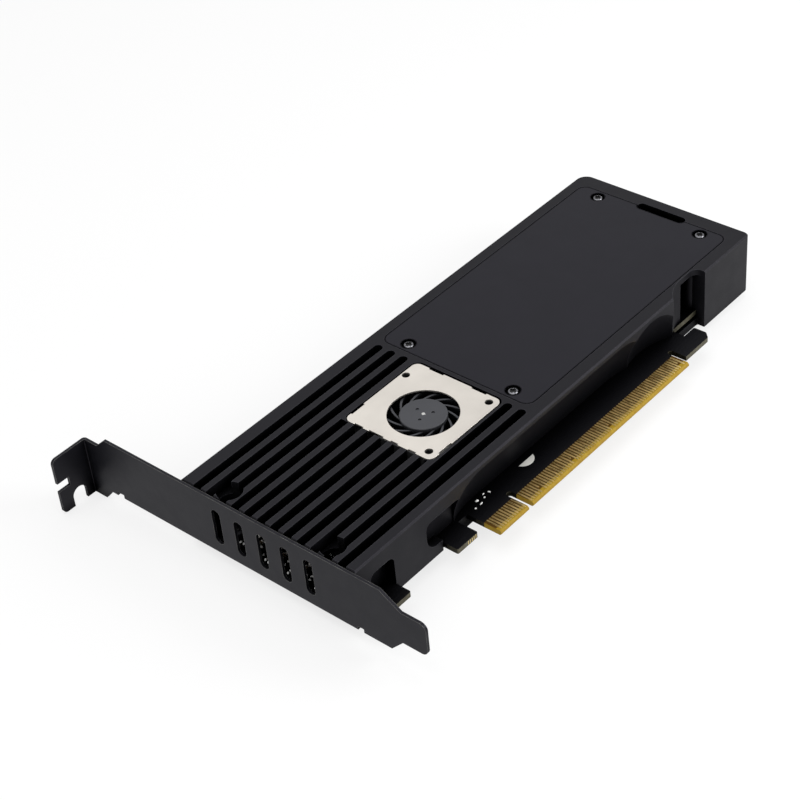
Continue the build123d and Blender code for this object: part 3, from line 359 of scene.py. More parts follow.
@dataclass(frozen=True)
class SolderMaskBoard(Finish):
    """Glass-filled epoxy board under matt black solder mask, with gold-coloured bare laminate at the contact edge.

    The mask shows traces as a faint relief, and the sawn edges show the woven glass.

    Attributes:
        laminate: The bare laminate, where it is palest.
        laminate_deep: The bare laminate, where it is deepest.
        gap: The laminate between the contacts.
        gap_near_y_mm: Where the contacts start.
        sawn: The sawn edge, where it is palest.
        sawn_deep: The sawn edge, where it is deepest.
        strip_y_mm: How far the bare strip reaches along Y.
        strip_near_x_mm: Where it starts along X.
        strip_far_x_mm: Where it ends along X.
        sawn_near_y_mm: Edges nearer than this show the saw's cut, and so do those past the next mark.
        sawn_from_x_mm: The mark along X.
        weave_mm: The width of a thread.
        thread: The shade of every second thread.
        weave_share: How strongly the threads show.
        cloud_mm: The size of the laminate's clouds.
        upright: How far an edge may look along Z, and still is an edge.
        level: How far a face looks along Z at least.
        blur_mm: The width of a colour's border.
        trace_mm: The width of a trace.
        trace_rise_mm: The rise of a trace.
        trace_bend: How strongly the traces bend.
        trace_bend_scale: How often they bend.
        trace_flank: The part of a wave in which a trace's flank rises.
    """

    laminate: str = "#a08428"
    laminate_deep: str = "#927420"
    gap: str = "#4e350a"
    gap_near_y_mm: float = 1.75
    sawn: str = "#5f5c4e"
    sawn_deep: str = "#4a4638"
    strip_y_mm: float = 5.6
    strip_near_x_mm: float = 45.1
    strip_far_x_mm: float = 130.3
    sawn_near_y_mm: float = 8.3
    sawn_from_x_mm: float = 100.0
    weave_mm: float = 0.6
    thread: float = 0.9
    weave_share: float = 0.6
    cloud_mm: float = 1.5
    upright: Span = (0.6, 0.4)
    level: Span = (0.9, 0.95)
    blur_mm: float = 0.02
    trace_mm: float = 1.2
    trace_rise_mm: float = 0.02
    trace_bend: float = 6.0
    trace_bend_scale: float = 1.2
    trace_flank: Span = (0.45, 0.6)

    def past(self, tree: Tree, value: Socket, mark_mm: float, way: int = 1) -> Node:
        """Gives 1 past a mark, or with a way of -1 short of it."""
        return self.ramp(tree, value, (mark_mm - way * self.blur_mm) * MM, mark_mm * MM)

    def bare_strip(self, tree: Tree, place: Socket) -> Node:
        """Gives 1 on the unmasked strip along the contacts, 0 elsewhere."""
        x, y, _ = add(tree, "ShaderNodeSeparateXYZ", {0: place}).outputs
        strip = self.both(tree, self.past(tree, y, self.strip_y_mm, -1), self.past(tree, x, self.strip_near_x_mm))
        return self.both(tree, strip, self.past(tree, x, self.strip_far_x_mm, -1))

    def tint(self, tree: Tree, place: Socket) -> Any:
        """Gives mask, bare laminate or sawn edge by place and by the face's direction.

        Args:
            tree: The material's tree.
            place: The object's coordinates.

        Returns:
            The colour.
        """
        x, y, _ = add(tree, "ShaderNodeSeparateXYZ", {0: place}).outputs
        direction = add(tree, "ShaderNodeNewGeometry").outputs["True Normal"]
        facing = add(tree, "ShaderNodeSeparateXYZ", {0: direction}).outputs[2]
        leaning = add(tree, "ShaderNodeMath", {0: facing}, operation="ABSOLUTE")
        cloudy = self.clouds(tree, place, self.cloud_mm, 0, 1)
        far = self.past(tree, x, self.sawn_from_x_mm + self.blur_mm)
        seen = self.both(tree, self.past(tree, y, self.sawn_near_y_mm, -1), far, "MAXIMUM")
        edge = self.both(tree, self.ramp(tree, leaning, *self.upright), seen)
        sawn = self.blend(tree, cloudy, linear(self.sawn), linear(self.sawn_deep))
        face = self.blend(tree, edge, super().tint(tree, place), sawn)
        between = self.both(tree, self.past(tree, y, self.gap_near_y_mm), self.ramp(tree, leaning, *self.level))
        bare = self.blend(tree, cloudy, linear(self.laminate), linear(self.laminate_deep))
        bare = self.blend(tree, between, bare, linear(self.gap))
        threads = add(tree, "ShaderNodeTexChecker", {
            "Vector": place, "Scale": 1 / (self.weave_mm * MM), "Color1": (1.0, 1.0, 1.0, 1),
            "Color2": (self.thread, self.thread, self.thread, 1),
        })
        bare = self.blend(tree, self.weave_share, bare, threads, "MULTIPLY")
        return self.blend(tree, self.bare_strip(tree, place), face, bare)

    def openness(self, tree: Tree, place: Socket) -> Any:
        """Gives the openness, with the bare strip open all over, so the painted shade stays off it."""
        return self.both(tree, super().openness(tree, place), self.bare_strip(tree, place), "MAXIMUM")

    def relief(self, tree: Tree, place: Socket) -> Any:
        """Gives the faint ridges of the traces under the mask."""
        traces = add(tree, "ShaderNodeTexWave", {
            "Vector": place, "Scale": 1 / (WAVE_BANDS * self.trace_mm * MM), "Distortion": self.trace_bend,
            "Detail": 1.0, "Detail Scale": self.trace_bend_scale,
        }, wave_type="BANDS", bands_direction="Y").outputs["Fac"]
        ridge = self.ramp(tree, traces, *self.trace_flank)
        return add(tree, "ShaderNodeBump", {"Distance": self.trace_rise_mm * MM, "Height": ridge})


@dataclass(frozen=True)
class GoldPlating(Finish):
    """Hard gold over nickel on the board's contacts: bright, with fine wiping marks along the way of insertion."""

    scratch_mm: float = 0.12
    stretch: Place = (1, 0.04, 1)
    smoother: float = 0.1
    rougher: float = 0.14

    def gloss(self, tree: Tree, place: Socket) -> Any:
        """Gives the roughness, in streaks that run along Y."""
        long = add(tree, "ShaderNodeMapping", {"Vector": place, "Scale": self.stretch})
        low, high = self.roughness - self.smoother, self.roughness + self.rougher
        return self.clouds(tree, long, self.scratch_mm, low, high, 2.0)


@dataclass(frozen=True)
class BrushedPlate(Finish):
    """Rolled sheet with a satin brushed along X."""

    stroke_mm: float = 0.35
    stroke_depth_mm: float = 0.002
    stretch: Place = (0.03, 1, 1)

    def along(self, tree: Tree, place: Socket) -> Node:
        """Gives the coordinates in which a stroke is as long as it is wide."""
        return add(tree, "ShaderNodeMapping", {"Vector": place, "Scale": self.stretch})

    def gloss(self, tree: Tree, place: Socket) -> Any:
        """Gives the roughness, in strokes."""
        return self.uneven(tree, self.along(tree, place), self.stroke_mm)

    def relief(self, tree: Tree, place: Socket) -> Any:
        """Gives the strokes as a shallow relief."""
        return self.raised(tree, self.noise(tree, self.along(tree, place), self.stroke_mm), self.stroke_depth_mm)


@dataclass(frozen=True)
class TurnedMetal(Finish):
    """Turned or headed metal, plated, with a fine grain of the size that a lathe leaves."""

    ring_mm: float = 0.2

    def gloss(self, tree: Tree, place: Socket) -> Any:
        """Gives the roughness, patchy at the size of the tool's marks."""
        return self.uneven(tree, place, self.ring_mm)


# The finishes given a shelter_mm darken in their grooves, pockets and under other parts: painted shade
# Black anodised, bead blasted: an even dark satin, neutral with a trace of blue on the lid
HOUSING_ALUMINIUM = AnodisedAluminium(
    "anodised_aluminium_housing", "#111114", roughness=0.5, specular=0.14, sheen="#f4f0ff", shelter_mm=10.0,
)
LID_ALUMINIUM = SeamedAluminium(
    "anodised_aluminium_lid", "#121217", roughness=0.46, specular=0.15, sheen="#f2edff", edge_wear_highlight_colour="#1c1c21",
    shelter_mm=4.0, roughness_spread=0.03,
)
COVER_ALUMINIUM = AnodisedAluminium(
    "anodised_aluminium_rear_cover", "#0d0d10", roughness=0.52, specular=0.1, sheen="#f4f0ff", shelter_mm=16.0,
)
# Epoxy solder mask: matt black with the traces standing a little under it
BOARD_MASK = SolderMaskBoard("solder_mask_black_fr4", "#0a0a0e", roughness=0.55, specular=0.12, shelter_mm=16.0)
# Hard gold: warm, bright, wiped by the slot's springs
CONTACT_GOLD = GoldPlating("hard_gold_contacts", "#e2c98a", roughness=0.3, metallic=1.0, edge_mm=0.03)
# Wet paint on steel: satin black
BRACKET_PAINT = PaintedSteel(
    "painted_steel_bracket", "#121216", roughness=0.42, specular=0.15, grain_depth_mm=0.01, sheen="#f2efff",
    shelter_mm=8.0,
)
# Black zinc on machine screws: nearly black, dull
BLACK_ZINC = TurnedMetal("black_zinc_screws", "#19191b", roughness=0.5, metallic=1.0)
# Nickel on the heads that stand in the lid's wells: grey and smooth
BRIGHT_NICKEL = TurnedMetal("bright_nickel_screw_heads", "#707074", roughness=0.3, metallic=1.0)
# Nickel plate on the small drive screws: pale and smooth
NICKEL_PLATE = TurnedMetal("nickel_plated_screws", "#c9c7c0", roughness=0.28, metallic=1.0)
# Nickel-silver sheet over the blower: warm, pale, satin
PLATE_METAL = BrushedPlate("nickel_silver_fan_plate", "#cdc8c1", roughness=0.42, metallic=1.0, edge_mm=0.08)
# Glass-filled polyester: dull black with a mineral grain
BLACK_POLYESTER = Finish("glass_filled_polyester_black", "#101011", roughness=0.6)
# Moulded polycarbonate rotor: grey, semi matt
ROTOR_PLASTIC = Finish(
    "moulded_polycarbonate_rotor", "#3a3b3f", roughness=0.45, specular=0.25, grain_mm=0.4, shelter_mm=5.0,
)
# Pressed ferrite: dark grey and chalky
FERRITE = Finish("pressed_ferrite", "#3a3735", roughness=0.7, grain_mm=0.3, grain_depth_mm=0.01)
# Turned steel: bright and smooth
TURNED_STEEL = TurnedMetal("turned_steel", "#c6c6c4", roughness=0.22, metallic=1.0)
# Sintered bronze: brown metal, dull with oil
SINTERED_BRONZE = TurnedMetal("sintered_bronze", "#9c7244", roughness=0.45, metallic=1.0)
# Moulding compound of the chips: black epoxy
CHIP_EPOXY = Finish("chip_moulding_epoxy", "#18181a", roughness=0.5, grain_mm=0.25)
# Pressed iron powder round the inductors' coils: dark grey and rough
IRON_POWDER = Finish("pressed_iron_powder", "#242423", roughness=0.62, grain_mm=0.3, grain_depth_mm=0.01)
# Aluminium cans of the capacitors, drawn and lacquered: bright
DRAWN_CAN = TurnedMetal("drawn_aluminium_can", "#c4c4c4", roughness=0.25, metallic=1.0)
# Barium titanate ceramic: dark tan and fine
CERAMIC_BODY = Finish("capacitor_ceramic_tan", "#57493a", roughness=0.5, grain_mm=0.3)
# Reflowed tin on terminals: bright and slightly lumpy
TINNED_END = TurnedMetal(
    "reflowed_tin", "#f0eeea", roughness=0.45, metallic=1.0, grain_depth_mm=0.02, ring_mm=0.5,
)
# Solder lumps: tin drawn near white and nearly non-metal, so that they stay pale in the shade too: a painted glint
SOLDER_PAINTED_GLINT = TurnedMetal(
    "solder_painted_glint", "#ececea", roughness=0.55, metallic=0.1, grain_depth_mm=0.03, ring_mm=0.4,
)
# Milky casting resin of the lamps
LAMP_RESIN = Finish("lamp_resin_milky", "#e9e8df", roughness=0.3, drift=0.03)
# Ivory nylon of the header
HEADER_NYLON = Finish("header_nylon_ivory", "#dfd7c2", roughness=0.45, drift=0.04)
# Liquid crystal polymer of the sockets: black, smooth
SOCKET_POLYMER = Finish("socket_polymer_black", "#141414", roughness=0.4)
# Filled silicone of the heat pads: soft grey-blue, matt
PAD_SILICONE = Finish("heat_pad_silicone", "#8f9ba8", roughness=0.8, grain_mm=0.4, grain_depth_mm=0.01)
# The floor of a driver recess: plated too, but drawn black as painted shade, since it lies so deep
RECESS_PAINTED_SHADE = Finish("recess_painted_shade_black", "#0b0b0c", roughness=0.6)
# White marking paint on the board
MARKING_INK = Finish("board_marking_ink_white", "#d9d8d2", roughness=0.6, drift=0.04, drift_mm=2.0)

# The modelled nodes that each finish is on
DRESSED: tuple[tuple[Finish, str], ...] = (
    (HOUSING_ALUMINIUM, "housing"),
    (LID_ALUMINIUM, "lid"),
    (COVER_ALUMINIUM, "rear_cover"),
    (BOARD_MASK, "circuit_board"),
    (CONTACT_GOLD, "edge_contacts_front edge_contacts_rear"),
    (BRACKET_PAINT, "bracket"),
    (BLACK_ZINC, "bracket_screws cover_screws fan_screws"),
    (BRIGHT_NICKEL, "lid_screws"),
    (NICKEL_PLATE, "drive_screws rear_drive_screws"),
    (PLATE_METAL, "fan_plate"),
    (BLACK_POLYESTER, "fan_frame"),
    (ROTOR_PLASTIC, "fan_rotor"),
    (FERRITE, "rotor_magnet fan_stator"),
    (TURNED_STEEL, "rotor_shaft drive_standoffs rear_drive_standoffs"),
    (SINTERED_BRONZE, "fan_bearing"),
    (CHIP_EPOXY, "switch_chip regulator_chips"),
    (IRON_POWDER, "inductors"),
    (DRAWN_CAN, "capacitors"),
    (CERAMIC_BODY, "ceramic_capacitors"),
    (LAMP_RESIN, "indicator_leds"),
    (HEADER_NYLON, "fan_header"),
    (SOCKET_POLYMER, "drive_sockets rear_drive_sockets"),
    (PAD_SILICONE, "lid_pads rear_pads switch_pad"),
)


@cache
def material_of(finish: Finish) -> bpy.types.Material:
    """Makes the material of a finish once, and gives the same one each time."""
    return finish.material()


def dress_nodes() -> None:
    """Gives every modelled node its finish."""
    for finish, nodes in DRESSED:
        for node in nodes.split():
            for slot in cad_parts[node].material_slots:
                slot.material = material_of(finish)
            log.info("finish %s on %s", finish.name, node)


# Pieces


@dataclass(frozen=True)
class Solid:
    """One solid of a modelled node, by its lowest and highest corner, in millimetres."""

    low: Vector
    high: Vector

    def middle(self, z: float) -> Place:
        """Gives the middle of the solid seen from above, at a height."""
        return (self.low.x + self.high.x) / 2, (self.low.y + self.high.y) / 2, z

    def size(self) -> Vector:
        """Gives the solid's size along X, Y and Z."""
        return self.high - self.low


def welded(node: str) -> bmesh.types.BMesh:
    """Copies a modelled node's mesh, with the points that lie on each other made one."""
    copy = bmesh.new()
    copy.from_mesh(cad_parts[node].data)
    bmesh.ops.remove_doubles(copy, verts=copy.verts, dist=WELD_MM * MM)
    return copy


def solids(node: str) -> list[Solid]:
    """Finds the solids of a modelled node.

    Args:
        node: The node's name.

    Returns:
        Its solids, from low X to high X and then from low Y to high Y.
    """
    copy = welded(node)
    left = set(copy.verts)
    found: list[Solid] = []
    while left:
        reached = [left.pop()]
        group: list[Vector] = []
        while reached:
            vert = reached.pop()
            group.append(vert.co / MM)
            near = {edge.other_vert(vert) for edge in vert.link_edges} & left
            left -= near
            reached.extend(near)
        low = Vector([min(p[axis] for p in group) for axis in range(3)])
        high = Vector([max(p[axis] for p in group) for axis in range(3)])
        found.append(Solid(low, high))
    copy.free()
    return sorted(found, key=lambda s: (round(s.low.x, 2), round(s.low.y, 2)))


def placed(name: str, mesh: bpy.types.Mesh) -> bpy.types.Object:
    """Puts a mesh in the scene as an object at the origin."""
    piece = bpy.data.objects.new(name, mesh)
    bpy.context.scene.collection.objects.link(piece)
    return piece


def settle(piece: bpy.types.Object, body: str, slot: str, *replaced: str) -> None:
    """Puts a finished piece on its body, and hides what it stands for.

    Args:
        piece: The finished object.
        body: The body that it rides on.
        slot: The record's material slot; not used.
        *replaced: The modelled nodes that it stands for.
    """
    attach(piece, body)
    if replaced:
        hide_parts(*replaced)
    log.info("piece %s: %d faces on %s", piece.name, len(piece.data.polygons), body)


def evaluated(piece: bpy.types.Object) -> bpy.types.Mesh:
    """Turns an object's modifiers into its plain mesh, removes them, and gives the mesh."""
    bpy.context.view_layer.update()
    result = bpy.data.meshes.new_from_object(piece.evaluated_get(bpy.context.evaluated_depsgraph_get()))
    piece.modifiers.clear()
    piece.data = result
    return result


@dataclass
class Rule:
    """A geometry tree with named inputs, and the points that it works on.

    Attributes:
        name: The tree's and the piece's name.
        sizes: Its named inputs, with their values: whole numbers are counts, and the rest millimetres.
        points: Where its repeats go, in millimetres.
        finishes: Its material inputs, with their finishes.
        marked: Which points are of the second kind, where there are two.
    """

    name: str
    sizes: dict[str, float | int]
    points: list[Place]
    finishes: dict[str, Finish]
    marked: list[bool] = field(default_factory=list)

    def __post_init__(self) -> None:
        """Makes the empty tree with its named inputs."""
        self.tree = bpy.data.node_groups.new(self.name, "GeometryNodeTree")
        kinds = {"Geometry": "Geometry"}
        kinds |= {label: "Int" if isinstance(value, int) else "Float" for label, value in self.sizes.items()}
        kinds |= {label: "Material" for label in self.finishes}
        for label, kind in kinds.items():
            self.tree.interface.new_socket(name=label, in_out="INPUT", socket_type="NodeSocket" + kind)
        self.tree.interface.new_socket(name="Geometry", in_out="OUTPUT", socket_type="NodeSocketGeometry")
        self.given = add(self.tree, "NodeGroupInput").outputs

    def repeat(self, shape: Any, **inputs: Any) -> Node:
        """Sets a shape on every point, turned and scaled by the inputs, and realizes the copies."""
        points = {"Points": self.given["Geometry"], "Instance": shape, **inputs}
        return add(self.tree, "GeometryNodeRealizeInstances", {
            0: add(self.tree, "GeometryNodeInstanceOnPoints", points),
        })

    def painted(self, shape: Any, label: str) -> Node:
        """Gives a shape the finish of a material input."""
        return add(self.tree, "GeometryNodeSetMaterial", {"Geometry": shape, "Material": self.given[label]})

    def moved(self, shape: Any, shift: list[Any]) -> Node:
        """Moves a shape along X, Y and Z."""
        return add(self.tree, "GeometryNodeTransform", {0: shape, "Translation": vector(self.tree, shift)})

    def block(self, size: list[Any], middle: list[Any], label: str) -> Node:
        """Adds a block with a size, a middle and the finish of a material input."""
        cube = add(self.tree, "GeometryNodeMeshCube", {"Size": vector(self.tree, size)})
        return self.painted(self.moved(cube, middle), label)

    def slab(self, curve: Any, rise: Any) -> Node:
        """Fills a flat closed curve and gives it a thickness.

        Args:
            curve: The outline.
            rise: The thickness.

        Returns:
            The closed slab, which stands on the curve's plane.
        """
        filled = add(self.tree, "GeometryNodeFillCurve", {0: curve}, mode="NGONS")
        base = add(self.tree, "GeometryNodeFlipFaces", {0: filled})
        top = add(self.tree, "GeometryNodeExtrudeMesh", {"Mesh": filled, "Offset Scale": rise, "Individual": False})
        closed = add(self.tree, "GeometryNodeJoinGeometry", {0: [top, base]})
        return add(self.tree, "GeometryNodeMergeByDistance", {0: closed, "Distance": 2 * WELD_MM * MM})

    def finish(self, shape: Any, slot: str, *replaced: str) -> None:
        """Ends the tree, runs it on its points, and settles the result on the card as a plain mesh.

        Args:
            shape: What the tree gives.
            slot: The record's material slot.
            *replaced: The modelled nodes that the piece stands for.
        """
        add(self.tree, "NodeGroupOutput", {0: shape})
        seeds = bpy.data.meshes.new(self.name + "_points")
        seeds.from_pydata([Vector(p) * MM for p in self.points], [], [])
        if self.marked:
            seeds.attributes.new("marked", "BOOLEAN", "POINT").data.foreach_set("value", self.marked)
        piece = placed(self.name, seeds)
        modifier = piece.modifiers.new("rule", "NODES")
        modifier.node_group = self.tree
        named = {item.name: item.identifier for item in self.tree.interface.items_tree if item.in_out == "INPUT"}
        for label, value in self.sizes.items():
            modifier[named[label]] = value if isinstance(value, int) else value * MM
        for label, finish in self.finishes.items():
            modifier[named[label]] = material_of(finish)
        evaluated(piece)
        settle(piece, "card", slot, *replaced)


@dataclass(frozen=True)
class Prism:
    """A straight block with any outline, in millimetres.

    Attributes:
        outline: Its corners, in order.
        low: Where its length starts.
        high: Where its length ends.
        upright: Its length runs along Z, with the outline in X and Y, or else along Y, with the outline in X and Z.
        added: Whether it is added to a shell, or else cut from it.
    """

    outline: list[Spot]
    low: float
    high: float
    upright: bool = True
    added: bool = False

    def build(self, name: str) -> bpy.types.Object:
        """Builds the block.

        Args:
            name: The object's name.

        Returns:
            The block, with its faces pointing outwards.
        """
        shape = bmesh.new()
        rings = []
        for level in (self.low, self.high):
            corners = [(u, v, level) if self.upright else (u, level, v) for u, v in self.outline]
            rings.append([shape.verts.new(Vector(corner) * MM) for corner in corners])
        for ring in rings:
            shape.faces.new(ring)
        for i in range(len(self.outline)):
            shape.faces.new((rings[0][i - 1], rings[0][i], rings[1][i], rings[1][i - 1]))
        bmesh.ops.recalc_face_normals(shape, faces=shape.faces)
        mesh = bpy.data.meshes.new(name)
        shape.to_mesh(mesh)
        shape.free()
        return placed(name, mesh)


def arc(middle: Spot, radius: float, start: float, end: float, steps: int = 10) -> list[Spot]:
    """Gives points along an arc, from one angle to another, in degrees."""
    angles = [radians(start + (end - start) * i / steps) for i in range(steps + 1)]
    return [(middle[0] + radius * cos(a), middle[1] + radius * sin(a)) for a in angles]


@dataclass
class TrimmedShell:
    """A modelled shell with blocks added to it and cut from it.

    Attributes:
        node: The modelled shell, which the result stands for.
        slot: The record's material slot.
        finish: Its finish.
        blocks: What is added and cut, in order.
        smooth_below: The angle below which an edge is shaded smooth, in degrees.
    """

    node: str
    slot: str
    finish: Finish
    blocks: list[Prism]
    smooth_below: float = 28.0

    def build(self) -> None:
        """Builds the shell and puts it in place of the modelled one."""
        copy = welded(self.node)
        name = self.node + "_trimmed"
        mesh = bpy.data.meshes.new(name)
        copy.to_mesh(mesh)
        copy.free()
        # The modelled mesh's own normals would shade the new edges round
        if "custom_normal" in mesh.attributes:
            mesh.attributes.remove(mesh.attributes["custom_normal"])
        piece = placed(name, mesh)
        tools = []
        for i, block in enumerate(self.blocks):
            tools.append(block.build(f"{name}_block_{i}"))
            step = piece.modifiers.new(f"step {i}", "BOOLEAN")
            step.operation = "UNION" if block.added else "DIFFERENCE"
            step.solver = "EXACT"
            step.object = tools[-1]
        result = evaluated(piece)
        for tool in tools:
            bpy.data.objects.remove(tool)
        result.materials.clear()
        result.materials.append(material_of(self.finish))
        result.shade_smooth()
        result.set_sharp_from_angle(angle=radians(self.smooth_below))
        settle(piece, "card", self.slot, self.node)


@dataclass
class CardShells:
    """The housing and the rear cover, brought to their last outlines over the board's tabs and beside the hook.

    The rear cover stands back from the board's near edge, and the housing's wall runs on to the second tab.

    Attributes:
        cover_near_y: The rear cover's near face.
        cover_hook_near_y: Its near face beside the hook.
        hook_near_x: Where that part of it starts.
        cover_far_x: Where it meets the far block.
        cover_corner_radius: The radius of its hollow corner there.
        wall_start_x: Where the added wall starts, inside the housing's own.
        wall_end_x: Where it ends, under the second notch.
        wall_low_z: Its lower edge.
        sill_z: Its upper edge under the notch.
        notch_near_x: Where the notch starts.
        notch_depth: The thickness of the added sill.
        sill_radius: The radius of the notch's lower corner.
        board_clearance: The thickness of the wall below the sill, which stays clear of the board.
        spare: How far a block runs past what it cuts.
    """

    cover_near_y: float = 11.9
    cover_hook_near_y: float = 11.8
    hook_near_x: float = 136.4
    cover_far_x: float = 153.3
    cover_corner_radius: float = 2.0
    wall_start_x: float = 26.3
    wall_end_x: float = 33.1
    wall_low_z: float = -2.5
    sill_z: float = 0.9
    notch_near_x: float = 27.3
    notch_depth: float = 3.2
    sill_radius: float = 4.0
    board_clearance: float = 1.7
    spare: float = 2.0

    def cover_blocks(self) -> list[Prism]:
        """Gives the foot at the rear cover's far corner, and what is cut from its near side."""
        low, high = box_mm("rear_cover")
        spare, far_x, hook_y = self.spare, self.cover_far_x, self.cover_hook_near_y
        corner = (far_x - self.cover_corner_radius, hook_y - self.cover_corner_radius)
        inner = (corner[0] - spare, hook_y + spare)
        foot = [(inner[0], corner[1]), (far_x, corner[1]), (far_x, inner[1]), inner]
        beside = [
            (low.x - spare, low.y - spare), (far_x + spare, low.y - spare), (far_x + spare, corner[1]),
            *arc(corner, self.cover_corner_radius, 0, 90),
            (self.hook_near_x, hook_y), (self.hook_near_x, self.cover_near_y), (low.x - spare, self.cover_near_y),
        ]
        return [Prism(foot, low.z, self.wall_low_z, added=True), Prism(beside, low.z - spare, high.z + spare)]

    def housing_blocks(self) -> list[Prism]:
        """Gives the sill with its round corner, and the wall below it."""
        near_y = box_mm("housing")[0].y
        start, end, half_up = self.wall_start_x, self.wall_end_x, self.sill_z / 2
        middle = (self.notch_near_x + self.sill_radius, self.sill_z + self.sill_radius)
        sill = [
            (start, 0.0), (end, 0.0), (end, self.sill_z),
            *arc(middle, self.sill_radius, -90, -180), (start, middle[1]),
        ]
        skirt = [(start, self.wall_low_z), (end, self.wall_low_z), (end, half_up), (start, half_up)]
        return [
            Prism(sill, near_y, near_y + self.notch_depth, upright=False, added=True),
            Prism(skirt, near_y, near_y + self.board_clearance, upright=False, added=True),
        ]

    def build(self) -> None:
        """Builds both."""
        TrimmedShell("rear_cover", "rear_cover", COVER_ALUMINIUM, self.cover_blocks()).build()
        TrimmedShell("housing", "housing", HOUSING_ALUMINIUM, self.housing_blocks()).build()


@dataclass
class SolderDots:
    """Small lumps of bright solder on the board, each of its own shape.

    Attributes:
        name: The piece's name.
        middles: The middle of each lump, on the board's face.
        radius: Half the width of the widest lump.
        height: The height of the tallest lump.
        seed: The seed of their shapes.
        roundness: How finely a lump is divided.
        least: The smallest lump's size, as shares of the widest and tallest.
        most: The largest lump's size, as shares of them.
    """

    name: str
    middles: list[Place]
    radius: float = 0.6
    height: float = 0.55
    seed: int = 5
    roundness: int = 3
    least: Place = (0.45, 0.3, 0.5)
    most: Place = (1.0, 0.6, 1.0)

    def build(self) -> None:
        """Builds the lumps."""
        sizes = {"Radius": self.radius, "Height": self.height, "Seed": self.seed, "Roundness": self.roundness}
        # The lumps' tin is a painted glint, near white even in the shade
        rule = Rule(self.name, sizes, self.middles, {"Tin": SOLDER_PAINTED_GLINT})
        tree, given = rule.tree, rule.given
        ball = add(tree, "GeometryNodeMeshIcoSphere", {"Radius": 1.0, "Subdivisions": given["Roundness"]})
        shape, turn = [
            add(tree, "FunctionNodeRandomValue", {0: low, 1: high, "Seed": given["Seed"]}, data_type="FLOAT_VECTOR")
            for low, high in ((self.least, self.most), ((0.0, 0.0, 0.0), (0.0, 0.0, pi)))
        ]
        full = vector(tree, [given["Radius"], given["Radius"], given["Height"]])
        scale = add(tree, "ShaderNodeVectorMath", {0: shape, 1: full}, operation="MULTIPLY")
        rule.finish(rule.repeat(rule.painted(ball, "Tin"), Rotation=turn, Scale=scale), "ceramic")


@dataclass
class ContactRow:
    """The gold fingers of one side of the board, with round ends.

    Attributes:
        node: The modelled strips that they stand for.
        side: The board's face.
        width_share: A finger's width as a share of the modelled strip's.
        end_radius: The radius of a finger's corners.
        corner_steps: The facets of one corner.
    """

    node: str
    side: Side
    width_share: float = 0.72
    end_radius: float = 0.22
    corner_steps: int = 4

    def finger(self, rule: Rule, length: str) -> Node:
        """Draws one finger.

        Args:
            rule: The row's rule.
            length: The name of the input that holds the finger's length.

        Returns:
            The finger, with its far end at the origin.
        """
        tree, given = rule.tree, rule.given
        flat = add(tree, "GeometryNodeCurvePrimitiveQuadrilateral", {
            "Width": given["Width"], "Height": given[length],
        })
        rounded = add(tree, "GeometryNodeFilletCurve", {
            "Curve": flat, "Radius": given["End radius"], "Count": given["Corner steps"],
        }, mode="POLY")
        return rule.moved(rule.slab(rounded, given["Rise"]), [0.0, times(tree, given[length], -0.5), 0.0])

    def build(self) -> None:
        """Builds the row and puts it in place of the modelled strips."""
        strips = solids(self.node)
        size = strips[0].size()
        lengths = [s.size().y for s in strips]
        longest, shortest = max(lengths), min(lengths)
        face_z = strips[0].low.z if self.side is Side.FRONT else strips[0].high.z
        sizes = {
            "Width": size.x * self.width_share, "Length": longest, "Short length": shortest, "Rise": size.z,
            "End radius": self.end_radius, "Corner steps": self.corner_steps,
        }
        points = [(s.middle(0)[0], s.high.y, face_z) for s in strips]
        marked = [length < (longest + shortest) / 2 for length in lengths]
        rule = Rule(self.node + "_fingers", sizes, points, {"Plating": CONTACT_GOLD}, marked)
        short = add(rule.tree, "GeometryNodeInputNamedAttribute", {"Name": "marked"}, data_type="BOOLEAN")
        full = add(rule.tree, "FunctionNodeBooleanMath", {0: short}, operation="NOT")
        turn = (0, pi if self.side is Side.REAR else 0.0, 0)
        rows = [
            rule.repeat(self.finger(rule, length), Selection=chosen, Rotation=turn)
            for length, chosen in (("Length", full), ("Short length", short))
        ]
        joined = add(rule.tree, "GeometryNodeJoinGeometry", {0: rows})
        rule.finish(rule.painted(joined, "Plating"), "contacts", self.node)


